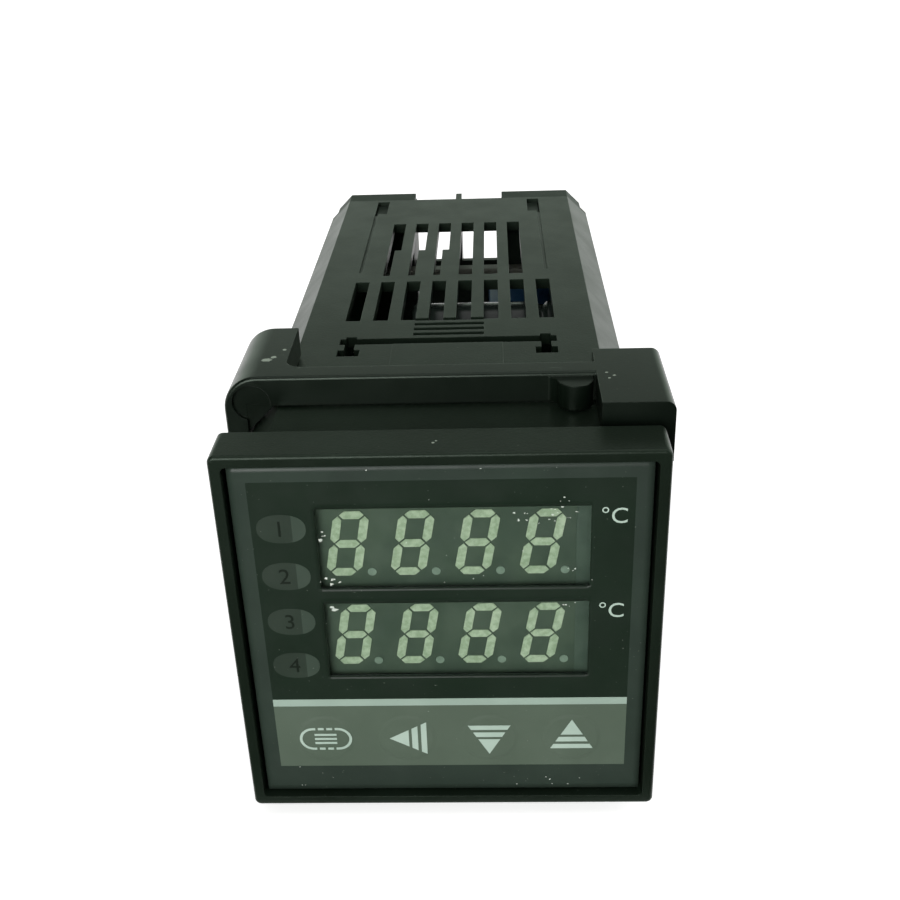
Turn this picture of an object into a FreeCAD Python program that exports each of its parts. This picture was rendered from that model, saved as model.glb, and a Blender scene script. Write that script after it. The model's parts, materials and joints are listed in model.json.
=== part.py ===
import FreeCAD, Part
import math
import os

# Panel-mounting temperature controller with a 48 mm square front (1/16 DIN).
#
# Frame, in millimetres: the origin is on the instrument's axis, in the plane of the
# flange's rear face, where the panel goes. +X is to the right as the user faces the
# front, +Y is rearwards into the cabinet, and +Z is up.
#
# A moulded housing carries the flange, the vents and two rear terminal strips. The
# chassis (front panel, film, displays, keys and three circuit boards) draws out
# forwards. A moulded bracket slides along the housing and clamps it to the panel.

Vector = FreeCAD.Vector
tiny = 1e-6                # two points closer than this are the same

# ---------------------------------------------------------------- housing and flange
front_size = 48.0          # square front of the flange
front_corner_r = 0.8
front_edge_r = 0.4
flange_depth = 5.6
rim_wall = 1.3             # rim around the recess that takes the front panel
recess_depth = 4.0
body_width = 44.8
body_height = 44.4
body_depth = 92.4          # flange rear to housing end
body_chamfer = 3.4
wall = 1.5

# ---------------------------------------------------------------- vents and slots
vent_width = 2.0
vent_pitch = 3.7
front_vents = 8
front_vent_start = 35.8
front_vent_length = 15.0
rear_vents = 6
rear_vent_start = 53.4
rear_vent_length = 25.0
stepped_vents = 3          # rear vents whose front stretch is half as wide
stepped_length = 11.5
cross_slot_half = 13.9     # slot across the housing that the chassis latch reaches
cross_slot_start = 27.7
cross_slot_width = 1.9
cross_end_width = 1.4      # deeper ends of the cross slot
tee_neck_width = 1.3
tee_neck_length = 1.7
tee_foot_width = 2.8
tee_foot_length = 2.0
tee_offset = 1.4           # neck centre, in from the slot's end
grip_half = 4.6
grip_grooves = 4
grip_groove_width = 0.9
grip_pitch = 1.7
grip_depth = 0.7
pad_half = 7.0             # low pad in front of the cross slot
pad_length = 12.0
pad_height = 0.25
pad_gap = 0.5
snap_inset = 4.3           # strip's inner face to the window for its barb
snap_width = 2.0
snap_length = 7.0
snap_end = 1.0             # housing end to the window
groove_length = 29.4       # shallow groove beside each window
groove_width = 0.5
groove_depth = 0.3

# ---------------------------------------------------------------- ratchet on the sides
ratchet_start = 8.0
ratchet_teeth = 30
ratchet_pitch = 2.0
ratchet_height = 8.0
ratchet_depth = 0.5

# ---------------------------------------------------------------- circuit boards
board_thickness = 1.6
board_inset = 4.0          # housing's inner wall to the middle of each side board
board_gap = 0.25           # board edge to the housing wall
board_end_gap = 0.4        # board end to the floor of its socket
rail_width = 1.0
rail_height = 1.2
rail_start = 8.0
rail_clearance = 0.2
display_board_side_gap = 1.9
display_board_top_gap = 1.7
display_board_y = 3.0      # front face of the display board

# ---------------------------------------------------------------- front panel and film
panel_gap = 0.3            # front panel to the rim, all round
panel_thickness = 2.8
film_thickness = 0.25
film_margin = 0.1
film_corner_r = 0.6
window_width = 29.4
window_height = 10.2
window_x = 1.2
window_pitch = 12.15       # upper window's middle to the lower one's
display_to_latch = 1.85    # upper display to the latch arm above it
lens_lap = 0.6             # lens under the film's edge
lens_thickness = 0.8
oval_x = -17.2
ovals = 4
oval_rise = 2.7            # first oval above the upper window's middle
oval_pitch = 6.073
oval_width = 5.35
oval_height = 3.55
key_names = ("set", "shift", "down", "up")
key_first_x = -14.7
key_pitch = 9.65
key_inset = 6.3            # housing's inner bottom to the keys' middle
key_hole_r = 3.5
key_clearance = 0.3
key_travel_room = 0.9      # switch body to the key's rear
post_r = 1.2
upper_posts = ((-15.3, 5.45), (17.0, 3.05))  # x, and height above the window's middle
latch_half_width = 5.0
latch_thickness = 1.0
latch_clearance = 0.2

# ---------------------------------------------------------------- displays and keys
module_width = 28.5
module_x = 0.35
module_height = 11.4
lens_to_segment = 0.1
segment_thickness = 0.1
digit_count = 4
digit_pitch = 7.06
digit_width = 4.0
digit_height = 8.3
digit_slant = 0.18
digit_first_x = -10.35
stroke = 1.05
stroke_gap = 0.16
dot_r = 0.48
dot_offset_x = 2.45
led_r = 1.5
led_flange_r = 1.75
led_flange = 1.0
guide_gap = 0.1
switch_size = 6.0
stem_r = 1.7
stem_clearance = 0.3
stem_engagement = 0.5
stem_room = 0.6            # free depth under the stem

# ---------------------------------------------------------------- rear terminal strips
strip_width = 14.8         # housing's outer side to the strip's inner face
strip_depth = 4.0          # strip behind the housing end
strip_spigot = 8.0         # strip inside the housing
strip_clearance = 0.15
divider_thickness = 1.0    # inner wall of each strip
divider_proud = 2.0
terminal_rows = 6
terminal_margin = 1.8      # housing's outer face to the first bay, above and below
barrier = 1.2
bay_depth = 7.0
socket_floor = 1.0         # strip between a board socket and the bays
bay_wall = 1.6             # strip's inner face to the bays
outer_wall_cut = 2.6       # side wall of a bay is lower than its barriers
plate_thickness = 0.8
plate_side_gap = 0.4
plate_end_gap = 0.3
tail_thickness = 0.4
tail_width = 3.0
tail_clearance = 0.1
screw_inset = 4.0          # bay's inner side to the screw, clear of the contact tails
screw_head_r = 2.4
screw_head_height = 1.8
screw_shank_r = 1.45
screw_length = 3.0
screw_slot = 0.7
screw_slot_depth = 0.8
screw_hole_gap = 0.1
barb_drop = 0.7            # barb below the housing's outer face
barb_clearance = 0.1
rib_thickness = 1.0
rib_overlap = 2.0
cross_wall_top = 11.6      # low wall that closes the middle between the strips
cross_wall_thickness = 1.2

# ---------------------------------------------------------------- mounting bracket
bracket_clearance = 0.25
guide_clearance = 0.05     # front lip of the bracket's sides, which keeps it square
guide_lip = 1.0
bracket_edge_r = 0.4       # outer front edges
bracket_side_wall = 2.55
bracket_top_wall = 3.55
bar_start = 9.6
bar_depth = 2.8
ear_inner_x = 18.3
ear_end = 24.4
ear_corner_r = 4.0
ear_root_r = 2.0
block_inner_x = 17.3
block_start = 1.6
block_end = 16.1
block_corner_r = 1.1
side_depth = 6.5
finger_tip_r = 2.0
finger_start = 6.8
finger_root_x = 10.2
finger_gap = 0.4
finger_drop = 0.5
finger_lift = 0.1
pin_mark_r = 2.2           # round recess in each ear's front
pin_mark_depth = 0.5
pin_mark_inset = 3.2
pawl_height = 6.0
pawl_depth = 1.2
pawl_clearance = 0.1

# ---------------------------------------------------------------- parts on the boards
cap_r = 5.0
cap_length = 22.0
cap_to_relay = 5.4
cap_to_top = 2.1           # can to the housing's inner top
cap_bead_r = 0.35          # rolled groove near the capacitor's foot
small_cap_r = 3.15
small_cap_length = 11.0
small_caps = 3
small_cap_pitch = 7.5
small_cap_to_relay = 0.65
small_cap_z = -1.0
relay_size = (11.0, 19.0, 15.0)
relay_to_spacer = 1.2
relay_z = -3.0
alarm_size = (10.0, 15.0, 12.0)
alarm_relays = 2
alarm_gap = 2.0
alarm_to_end = 6.0         # last relay to the board's rear end
alarm_z = -15.0
core_size = (13.0, 16.0, 17.0)
core_y = 12.0
core_z = -9.0
core_leg = 3.2
core_bulge = 2.2           # winding beyond the core, towards and away from the board
winding_gap = 0.3
chip_size = (1.6, 12.0, 12.0)
chip_y = 20.0
chip_z = 2.0
amp_size = (1.5, 5.0, 6.0)
amp_y = (16.0, 25.0, 34.0)
amp_z = -10.0
varistor_r = 5.0
varistor_thickness = 3.6
varistor_y = 44.0
varistor_z = -13.0
spacer_to_end = 4.4
spacer_depth = 2.6
spacer_z = 10.6
spacer_height = 2.6
header_size = (2.5, 2.5, 20.0)
header_z = -10.0

# ---------------------------------------------------------------- worked out from these
half_w = body_width / 2
half_h = body_height / 2
inner_w = half_w - wall
inner_h = half_h - wall
inner_chamfer = body_chamfer - wall * (2 - math.sqrt(2))
recess_floor = recess_depth - flange_depth
panel_half = front_size / 2 - rim_wall - panel_gap
panel_front = recess_floor - panel_thickness
film_front = panel_front - film_thickness
lens_back = panel_front + lens_thickness
segment_front = lens_back + lens_to_segment
module_front = segment_front + segment_thickness
display_board_back = display_board_y + board_thickness
strip_end = body_depth + strip_depth
bay_floor = strip_end - bay_depth
spigot_start = body_depth - strip_spigot
bracket_half_w = half_w + bracket_clearance + bracket_side_wall
bracket_half_h = half_h + bracket_clearance + bracket_top_wall
strip_inner_x = half_w - strip_width
snap_inner = strip_inner_x + snap_inset
bay_inner_x = strip_inner_x + bay_wall
bay_outer_x = half_w - body_chamfer
screw_x = bay_inner_x + screw_inset
terminal_pitch = (body_height - 2 * terminal_margin) / terminal_rows
plate_width = bay_outer_x - bay_inner_x - 2 * plate_side_gap
plate_height = terminal_pitch - barrier - 2 * plate_end_gap
board_rear = bay_floor - socket_floor - board_end_gap
board_x = inner_w - board_inset
board_inner_face = board_x - board_thickness / 2
board_half_h = inner_h - board_gap
display_board_half_w = inner_w - display_board_side_gap
display_board_half_h = inner_h - display_board_top_gap
spacer_y = board_rear - spacer_to_end - spacer_depth
relay_y = spacer_y - relay_to_spacer - relay_size[1]
last_small_cap_y = relay_y - small_cap_to_relay - small_cap_r
cap_y = relay_y - cap_to_relay - cap_r
cap_z = inner_h - cap_to_top - cap_r
last_alarm_y = board_rear - alarm_to_end - alarm_size[1]
pv_z = inner_h - latch_clearance - latch_thickness - display_to_latch - module_height / 2
sv_z = pv_z - window_pitch
oval_z = [pv_z + oval_rise - n * oval_pitch for n in range(ovals)]
key_x = [key_first_x + n * key_pitch for n in range(len(key_names))]
key_z = key_inset - inner_h
lower_posts = [(x + key_pitch / 2, key_z) for x in key_x[::2]]
post_places = [(x, pv_z + rise) for x, rise in upper_posts] + lower_posts
key_front = panel_front
switch_top = recess_floor + key_travel_room


# ---------------------------------------------------------------- small helpers
def block(x, y, z):
    """Box between pairs of coordinates along X, Y and Z."""
    corner = Vector(min(x), min(y), min(z))
    return Part.makeBox(abs(x[1] - x[0]), abs(y[1] - y[0]), abs(z[1] - z[0]), corner)


def rod(radius, start, direction, length):
    """Cylinder from a start point along a direction."""
    return Part.makeCylinder(radius, length, Vector(*start), Vector(*direction))


def prism_y(points, y0, y1):
    """Closed outline of (x, z) points, extruded from y0 to y1."""
    ring = [Vector(x, y0, z) for x, z in points]
    face = Part.Face(Part.makePolygon(ring + ring[:1]))
    return face.extrude(Vector(0, y1 - y0, 0))


def octagon(w, h, chamfer):
    """Outline of a rectangle with half sizes w and h and chamfered corners."""
    a, b = w - chamfer, h - chamfer
    return [(a, h), (w, b), (w, -b), (a, -h), (-a, -h), (-w, -b), (-w, b), (-a, h)]


def round_edges(shape, radius, along):
    """Fillet every straight edge of a shape that runs along one axis."""
    axis = Vector(*along)
    edges = []
    for edge in shape.Edges:
        first, last = edge.Vertexes[0].Point, edge.Vertexes[-1].Point
        if (last - first).Length > 0 and abs((last - first).normalize().dot(axis)) > 0.999:
            edges.append(edge)
    return shape.makeFillet(radius, edges)


def rounded_plate(half_x, half_z, radius, y0, y1):
    """Plate with rounded corners, seen along Y."""
    return round_edges(block((-half_x, half_x), (y0, y1), (-half_z, half_z)), radius, (0, 1, 0))


def union(shapes):
    """One solid fused from many."""
    first, *rest = shapes
    return first.multiFuse(rest).removeSplitter() if rest else first


def both_ends(shape):
    """A shape and its copy turned half a turn about the instrument's axis."""
    twin = shape.copy()
    twin.rotate(Vector(0, 0, 0), Vector(0, 1, 0), 180)
    return [shape, twin]


def top_and_bottom(shape):
    """A shape on the top wall and its mirror image on the bottom wall."""
    return [shape, shape.mirror(Vector(0, 0, 0), Vector(0, 0, 1))]


def left_and_right(shape):
    """A shape on the right and its mirror image on the left."""
    return [shape, shape.mirror(Vector(0, 0, 0), Vector(1, 0, 0))]


def oval(width, height, x, z, y0, y1):
    """Elliptic cylinder along Y."""
    ellipse = Part.Ellipse(Vector(0, 0, 0), width / 2, height / 2).toShape()
    face = Part.Face(Part.Wire(ellipse))
    face.rotate(Vector(0, 0, 0), Vector(1, 0, 0), 90)
    face.translate(Vector(x, y0, z))
    return face.extrude(Vector(0, y1 - y0, 0))


# ---------------------------------------------------------------- housing
def row_x(count):
    """Centres of a row of vents, left to right."""
    return [(i - (count - 1) / 2) * vent_pitch for i in range(count)]


def vent_cutters():
    """Slots through the top wall: a front row, and a rear row with stepped slots."""
    cutters = []
    depth = (inner_h - wall, half_h + wall)
    for x in row_x(front_vents):
        y = (front_vent_start, front_vent_start + front_vent_length)
        cutters.append(block((x - vent_width / 2, x + vent_width / 2), y, depth))
    for i, x in enumerate(row_x(rear_vents)):
        start = rear_vent_start + (stepped_length if i < stepped_vents else 0)
        y = (start, rear_vent_start + rear_vent_length)
        cutters.append(block((x - vent_width / 2, x + vent_width / 2), y, depth))
        if i < stepped_vents:
            cutters.append(block((x - vent_width / 2, x), (rear_vent_start, start), depth))
    return cutters


def latch_cutters():
    """Cross slot with its T-shaped ends, and the finger grip's grooves."""
    depth = (inner_h - wall, half_h + wall)
    slot_y = (cross_slot_start, cross_slot_start + cross_slot_width)
    neck_start = cross_slot_start - tee_neck_length
    foot_start = neck_start - tee_foot_length
    neck_x = cross_slot_half - tee_offset
    cutters = [block((-cross_slot_half, cross_slot_half), slot_y, depth)]
    for side in (-1, 1):
        x = side * neck_x
        neck = (x - tee_neck_width / 2, x + tee_neck_width / 2)
        foot = (x - tee_foot_width / 2, x + tee_foot_width / 2)
        cutters.append(block(neck, (neck_start, cross_slot_start), depth))
        cutters.append(block(foot, (foot_start, neck_start), depth))
        end = (x - cross_end_width / 2, x + cross_end_width / 2)
        cutters.append(block(end, (slot_y[1], slot_y[1] + tee_neck_width / 2), depth))
    for i in range(grip_grooves):
        y = slot_y[1] + grip_pitch * (i + 0.5)
        groove_y = (y, y + grip_groove_width)
        cutters.append(block((-grip_half, grip_half), groove_y, (half_h - grip_depth, half_h + wall)))
    return cutters


def snap_cutters():
    """Windows for the terminal strips' barbs, each with a shallow groove in front."""
    cutters = []
    y1 = body_depth - snap_end
    y0 = y1 - snap_length
    outer = snap_inner + snap_width
    window = block((snap_inner, outer), (y0, y1), (inner_h - wall, half_h + wall))
    groove = block((outer - groove_width, outer), (y0 - groove_length, y0),
                   (half_h - groove_depth, half_h + wall))
    for shape in (window, groove):
        cutters += left_and_right(shape)
    return cutters


def ratchet_cutters():
    """Saw-tooth grooves in the right side wall."""
    cutters = []
    for i in range(ratchet_teeth):
        y = ratchet_start + i * ratchet_pitch
        tooth = [Vector(half_w, y, -ratchet_height / 2),
                 Vector(half_w - ratchet_depth, y, -ratchet_height / 2),
                 Vector(half_w, y + ratchet_pitch * 0.8, -ratchet_height / 2)]
        face = Part.Face(Part.makePolygon(tooth + tooth[:1]))
        cutters.append(face.extrude(Vector(0, 0, ratchet_height)))
    return cutters


def board_rails():
    """Two ribs each side of a side board, on the top wall."""
    rails = []
    reach = board_thickness / 2 + rail_clearance
    for side in (-1, 1):
        x = board_x + side * reach
        span = (x, x + side * rail_width)
        rails.append(block(span, (rail_start, spigot_start - strip_clearance),
                           (inner_h - rail_height, inner_h + wall / 2)))
    return rails


def housing():
    flange = rounded_plate(front_size / 2, front_size / 2, front_corner_r, -flange_depth, 0)
    front_edges = [e for e in flange.Edges
                   if max(v.Point.y for v in e.Vertexes) < wall - flange_depth]
    flange = flange.makeFillet(front_edge_r, front_edges)
    tube = prism_y(octagon(half_w, half_h, body_chamfer), -wall, body_depth)
    pads = top_and_bottom(block((-pad_half, pad_half),
                                (cross_slot_start - pad_gap - pad_length, cross_slot_start - pad_gap),
                                (half_h - wall / 2, half_h + pad_height)))
    solid = union([flange, tube] + pads)
    recess_half = front_size / 2 - rim_wall
    recess = rounded_plate(recess_half, recess_half, film_corner_r, -flange_depth - wall, recess_floor)
    bore = prism_y(octagon(inner_w, inner_h, inner_chamfer), recess_floor - wall, body_depth + wall)
    solid = solid.cut(union([recess, bore]))

    rails = []
    for rail in board_rails():
        for shape in left_and_right(rail):
            rails += top_and_bottom(shape)
    rib = block((-rib_thickness / 2, rib_thickness / 2),
                (body_depth - rib_overlap, strip_end + divider_proud),
                (-inner_h - wall / 2, inner_h + wall / 2))
    wall_half = strip_inner_x - strip_clearance
    cross_wall = block((-wall_half, wall_half),
                       (body_depth - rib_overlap, body_depth - rib_overlap + cross_wall_thickness),
                       (-inner_h - wall / 2, cross_wall_top))
    solid = union([solid, rib, cross_wall] + rails)

    cutters = []
    for shape in vent_cutters() + latch_cutters() + snap_cutters():
        cutters += top_and_bottom(shape)
    for shape in ratchet_cutters():
        cutters += left_and_right(shape)
    return solid.cut(Part.makeCompound(cutters))


# ---------------------------------------------------------------- rear terminal strips
def row_z():
    """Heights of the terminals, top to bottom."""
    return [((terminal_rows - 1) / 2 - i) * terminal_pitch for i in range(terminal_rows)]


def terminal_strip():
    """Right-hand strip: rear block with six bays, a spigot in the housing and two barbs."""
    outer = prism_y(octagon(half_w, half_h, body_chamfer), body_depth, strip_end)
    keep = block((strip_inner_x, front_size), (body_depth, strip_end), (-front_size, front_size))
    spigot_w = inner_w - strip_clearance
    spigot_h = inner_h - strip_clearance
    spigot = prism_y(octagon(spigot_w, spigot_h, inner_chamfer), spigot_start, body_depth)
    keep_spigot = block((strip_inner_x, front_size), (spigot_start, body_depth),
                        (-front_size, front_size))
    divider = block((strip_inner_x, strip_inner_x + divider_thickness),
                    (body_depth, strip_end + divider_proud), (-inner_h, inner_h))
    solid = union([outer.common(keep), spigot.common(keep_spigot), divider])

    barb_y1 = body_depth - snap_end - barb_clearance
    barb_y0 = barb_y1 - snap_length + 2 * barb_clearance
    barb = block((snap_inner + barb_clearance, snap_inner + snap_width - barb_clearance),
                 (barb_y0, barb_y1), (spigot_h - wall, half_h - barb_drop))
    solid = union([solid] + top_and_bottom(barb))

    cutters = []
    height = terminal_pitch - barrier
    for z in row_z():
        bay_z = (z - height / 2, z + height / 2)
        cutters.append(block((bay_inner_x, bay_outer_x), (bay_floor, strip_end + wall), bay_z))
        cutters.append(block((bay_outer_x, front_size), (strip_end - outer_wall_cut, strip_end + wall),
                             bay_z))
        cutters.append(tail_room(z))
        cutters.append(rod(screw_shank_r + screw_hole_gap, (screw_x, bay_floor - screw_length, z),
                           (0, 1, 0), screw_length))
    slot_half = board_thickness / 2 + rail_clearance
    cutters.append(block((board_x - slot_half, board_x + slot_half),
                         (spigot_start - wall, board_rear + board_end_gap), (-front_size, front_size)))
    return solid.cut(Part.makeCompound(cutters))


def terminal_x():
    """Middle of the bays and their plates."""
    return (bay_inner_x + bay_outer_x) / 2


def tail_x():
    """Face of a contact tail that wipes the board's inner face."""
    return board_inner_face - tail_clearance


def tail_room(z):
    """Pocket in the strip for one contact tail."""
    x = (tail_x() - tail_thickness - tail_clearance, board_inner_face)
    half = tail_width / 2 + tail_clearance
    return block(x, (spigot_start - wall, bay_floor + wall / 2), (z - half, z + half))


def terminal_plates():
    """Six contact plates with tails that wipe the board's contact pads."""
    plates = []
    for z in row_z():
        plate = block((terminal_x() - plate_width / 2, terminal_x() + plate_width / 2),
                      (bay_floor, bay_floor + plate_thickness),
                      (z - plate_height / 2, z + plate_height / 2))
        tail = block((tail_x() - tail_thickness, tail_x()),
                     (spigot_start + strip_clearance, bay_floor + plate_thickness / 2),
                     (z - tail_width / 2, z + tail_width / 2))
        hole = rod(screw_shank_r + screw_hole_gap, (screw_x, bay_floor - wall, z), (0, 1, 0), 2 * wall)
        plates.append(union([plate, tail]).cut(hole))
    return Part.makeCompound(plates)


def terminal_screws():
    """Pan-head screws of one strip, each with a cross recess."""
    screws = []
    seat = bay_floor + plate_thickness
    for z in row_z():
        head = rod(screw_head_r, (screw_x, seat, z), (0, 1, 0), screw_head_height)
        rim = [e for e in head.Edges if e.Length > screw_head_r
               and min(v.Point.y for v in e.Vertexes) > seat + screw_head_height / 2]
        head = head.makeFillet(screw_head_height / 3, rim)
        shank = rod(screw_shank_r, (screw_x, seat - screw_length, z), (0, 1, 0), screw_length)
        slots = []
        top = (seat + screw_head_height - screw_slot_depth, seat + screw_head_height + wall)
        long_half, short_half = screw_head_r * 0.7, screw_slot / 2
        for a, b in ((long_half, short_half), (short_half, long_half)):
            slots.append(block((screw_x - a, screw_x + a), top, (z - b, z + b)))
        screws.append(union([head, shank]).cut(union(slots)))
    return Part.makeCompound(screws)


# ---------------------------------------------------------------- mounting bracket
def bracket_half():
    """Top bar, right block with its side wall, left ear and spring finger."""
    ring = (half_h + bracket_clearance, bracket_half_h)
    side_x = half_w + bracket_clearance
    bar_end = bar_start + bar_depth
    bar = block((-ear_inner_x - ear_root_r, block_inner_x + block_corner_r), (bar_start, bar_end), ring)
    solid_block = block((block_inner_x, bracket_half_w), (block_start, block_end), ring)
    side = block((side_x, bracket_half_w), (bar_start, bar_start + side_depth),
                 (-bracket_half_h + ear_corner_r, bracket_half_h))
    ear = block((-bracket_half_w, -ear_inner_x), (bar_start, ear_end), ring)
    root = ear_root((-ear_inner_x, bar_end), ring)
    corner_drop = block((side_x, bracket_half_w), (block_start, block_end),
                        (half_h - body_chamfer, bracket_half_h))
    ear_drop = block((-bracket_half_w, -side_x), (bar_start, ear_end),
                     (half_h - body_chamfer, bracket_half_h))
    return [bar, solid_block, side, ear, root, corner_drop, ear_drop, spring_finger()]


def ear_root(corner, z):
    """Concave fillet between an ear's inner side and the bar's rear face."""
    x, y = corner
    fill = block((x, x + ear_root_r), (y, y + ear_root_r), z)
    return fill.cut(rod(ear_root_r, (x + ear_root_r, y + ear_root_r, z[0]), (0, 0, 1), z[1] - z[0]))


def spring_finger():
    """Short curved finger that stands forwards from the bar beside the block."""
    right = block_inner_x - finger_gap
    tip_x = right - finger_tip_r
    tip_y = finger_start + finger_tip_r
    z = (half_h + bracket_clearance + finger_lift, bracket_half_h - finger_drop)
    root = bar_start + bar_depth / 2
    height = Vector(0, 0, z[1] - z[0])

    def at(x, y):
        return Vector(x, y, z[0])

    bend = at(tip_x - finger_tip_r - (tip_x - finger_tip_r - finger_root_x) * 0.22,
              tip_y + (bar_start - tip_y) * 0.72)
    edges = [
        Part.makeLine(at(finger_root_x, bar_start), at(finger_root_x, root)),
        Part.makeLine(at(finger_root_x, root), at(right, root)),
        Part.makeLine(at(right, root), at(right, tip_y)),
        Part.Arc(at(right, tip_y), at(tip_x, finger_start), at(tip_x - finger_tip_r, tip_y)).toShape(),
        Part.Arc(at(tip_x - finger_tip_r, tip_y), bend, at(finger_root_x, bar_start)).toShape(),
    ]
    return Part.Face(Part.Wire(edges)).extrude(height)


def mounting_bracket():
    pieces = []
    for shape in bracket_half():
        pieces += both_ends(shape)
    solid = union(pieces)
    wide = octagon(half_w + bracket_clearance, half_h + bracket_clearance, body_chamfer)
    close = octagon(half_w + guide_clearance, half_h + bracket_clearance,
                    body_chamfer + bracket_clearance + guide_clearance * (1 - math.sqrt(2)))
    solid = solid.cut(prism_y(close, -body_depth, body_depth))
    solid = solid.cut(prism_y(wide, -body_depth, bar_start))
    solid = solid.cut(prism_y(wide, bar_start + guide_lip, body_depth))
    solid = solid.makeFillet(block_corner_r, outer_corners(solid, 1))
    solid = solid.makeFillet(ear_corner_r, outer_corners(solid, -1))
    solid = solid.makeFillet(bracket_edge_r, outer_front_edges(solid))
    pawl_y = (bar_start + side_depth / 2 - pawl_depth / 2, bar_start + side_depth / 2 + pawl_depth / 2)
    pawl = block((half_w + pawl_clearance, half_w + bracket_clearance + pawl_clearance), pawl_y,
                 (-pawl_height / 2, pawl_height / 2))
    mark = rod(pin_mark_r, (-bracket_half_w + pin_mark_inset, bar_start,
                            bracket_half_h - pin_mark_inset), (0, 1, 0), pin_mark_depth)
    return union([solid] + left_and_right(pawl)).cut(Part.makeCompound(both_ends(mark)))


def outer_corners(shape, side):
    """Sharp outer corner edges along Y: of the blocks (side 1) or of the ears (side -1)."""
    found = []
    for edge in shape.Edges:
        a, b = edge.Vertexes[0].Point, edge.Vertexes[-1].Point
        along_y = math.hypot(a.x - b.x, a.z - b.z) < tiny
        corner = math.hypot(abs(a.x) - bracket_half_w, abs(a.z) - bracket_half_h) < tiny
        if along_y and corner and a.x * a.z * side > 0:
            found.append(edge)
    return found


def outer_front_edges(shape):
    """Edges where the front face of the bar, ears and sides meets the bracket's outside."""
    found = []
    for edge in shape.Edges:
        box = edge.BoundBox
        if abs(box.YMin - bar_start) > tiny or abs(box.YMax - bar_start) > tiny:
            continue
        top = min(abs(box.ZMin), abs(box.ZMax)) > bracket_half_h - tiny
        side = min(abs(box.XMin), abs(box.XMax)) > bracket_half_w - tiny and box.ZLength > ear_corner_r
        corner = abs(box.XLength - ear_corner_r) < tiny and abs(box.ZLength - ear_corner_r) < tiny
        if top or side or corner:
            found.append(edge)
    return found


# ---------------------------------------------------------------- front of the chassis
def window_box(z, grow, y0, y1):
    """Box the size of a display window, grown on every side."""
    half_x, half_z = window_width / 2 + grow, window_height / 2 + grow
    return block((window_x - half_x, window_x + half_x), (y0, y1), (z - half_z, z + half_z))


def front_panel():
    """Moulded panel with windows, key holes and board posts."""
    plate = rounded_plate(panel_half, panel_half, film_corner_r, panel_front, recess_floor)
    posts = []
    for x, z in post_places:
        posts.append(rod(post_r, (x, recess_floor - wall / 2, z), (0, 1, 0),
                         display_board_y - recess_floor + wall / 2))
    solid = union([plate] + posts)
    cutters = []
    for z in (pv_z, sv_z):
        cutters.append(window_box(z, 0, panel_front - wall, recess_floor + wall))
        cutters.append(window_box(z, lens_lap, panel_front - wall, module_front))
        cutters.append(module_pocket(z))
    for z in oval_z:
        cutters.append(oval(oval_width, oval_height, oval_x, z, panel_front - wall, recess_floor + wall))
    for x in key_x:
        cutters.append(rod(key_hole_r, (x, panel_front - wall, key_z), (0, 1, 0), panel_thickness + 2 * wall))
    return solid.cut(Part.makeCompound(cutters))


def latch_arms():
    """Spring arms from the panel's rear face to the cross slots, above and below."""
    arm_z1 = inner_h - latch_clearance
    arm = block((-latch_half_width, latch_half_width), (recess_floor, cross_slot_start + cross_slot_width),
                (arm_z1 - latch_thickness, arm_z1))
    return Part.makeCompound(top_and_bottom(arm))


def module_pocket(z):
    """Room in the panel for a display module."""
    half_x = module_width / 2 + panel_gap
    half_z = module_height / 2 + panel_gap
    return block((module_x - half_x, module_x + half_x), (module_front, recess_floor + wall),
                 (z - half_z, z + half_z))


def front_film():
    """Printed film over the panel, with two clear display windows cut out."""
    half = panel_half - film_margin
    film = rounded_plate(half, half, film_corner_r, film_front, panel_front)
    windows = [window_box(z, 0, film_front - wall, panel_front + wall) for z in (pv_z, sv_z)]
    return film.cut(Part.makeCompound(windows))


def display_lenses():
    """Clear lenses behind the film's two windows."""
    fit = lens_lap - film_margin
    return Part.makeCompound([window_box(z, fit, panel_front, lens_back) for z in (pv_z, sv_z)])


def display_module(z):
    """Seven-segment display block that stands on the display board."""
    return block((module_x - module_width / 2, module_x + module_width / 2),
                 (module_front, display_board_y), (z - module_height / 2, z + module_height / 2))


def segment_outline(length, horizontal):
    """Six-sided outline of one segment, centred on the origin."""
    a, b = length / 2, stroke / 2
    points = [(-a, 0), (-a + b, b), (a - b, b), (a, 0), (a - b, -b), (-a + b, -b)]
    return points if horizontal else [(v, u) for u, v in points]


def digit_segments(x, z):
    """Outlines of the seven segments of one slanted digit."""
    reach_x = (digit_width - stroke) / 2
    reach_z = (digit_height - stroke) / 2
    across = 2 * reach_x - stroke_gap
    upright = reach_z - stroke_gap
    places = [(0, reach_z, True), (0, 0, True), (0, -reach_z, True)]
    places += [(sx * reach_x, sz * reach_z / 2, False) for sx in (-1, 1) for sz in (-1, 1)]
    outlines = []
    for u, v, horizontal in places:
        outline = segment_outline(across if horizontal else upright, horizontal)
        outlines.append([(x + u + p + digit_slant * (v + q), z + v + q) for p, q in outline])
    return outlines


def display_segments(z):
    """Light bars and decimal points of one display."""
    solids = []
    for i in range(digit_count):
        x = digit_first_x + i * digit_pitch
        for outline in digit_segments(x, z):
            solids.append(prism_y(outline, segment_front, module_front))
        dot_z = z - digit_height / 2 + dot_r
        solids.append(rod(dot_r, (x + dot_offset_x, segment_front, dot_z), (0, 1, 0), segment_thickness))
    return Part.makeCompound(solids)


def light_guides():
    """Oval light guides behind the four indicators."""
    width, height = oval_width - 2 * guide_gap, oval_height - 2 * guide_gap
    return Part.makeCompound([oval(width, height, oval_x, z, panel_front, recess_floor) for z in oval_z])


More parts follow.
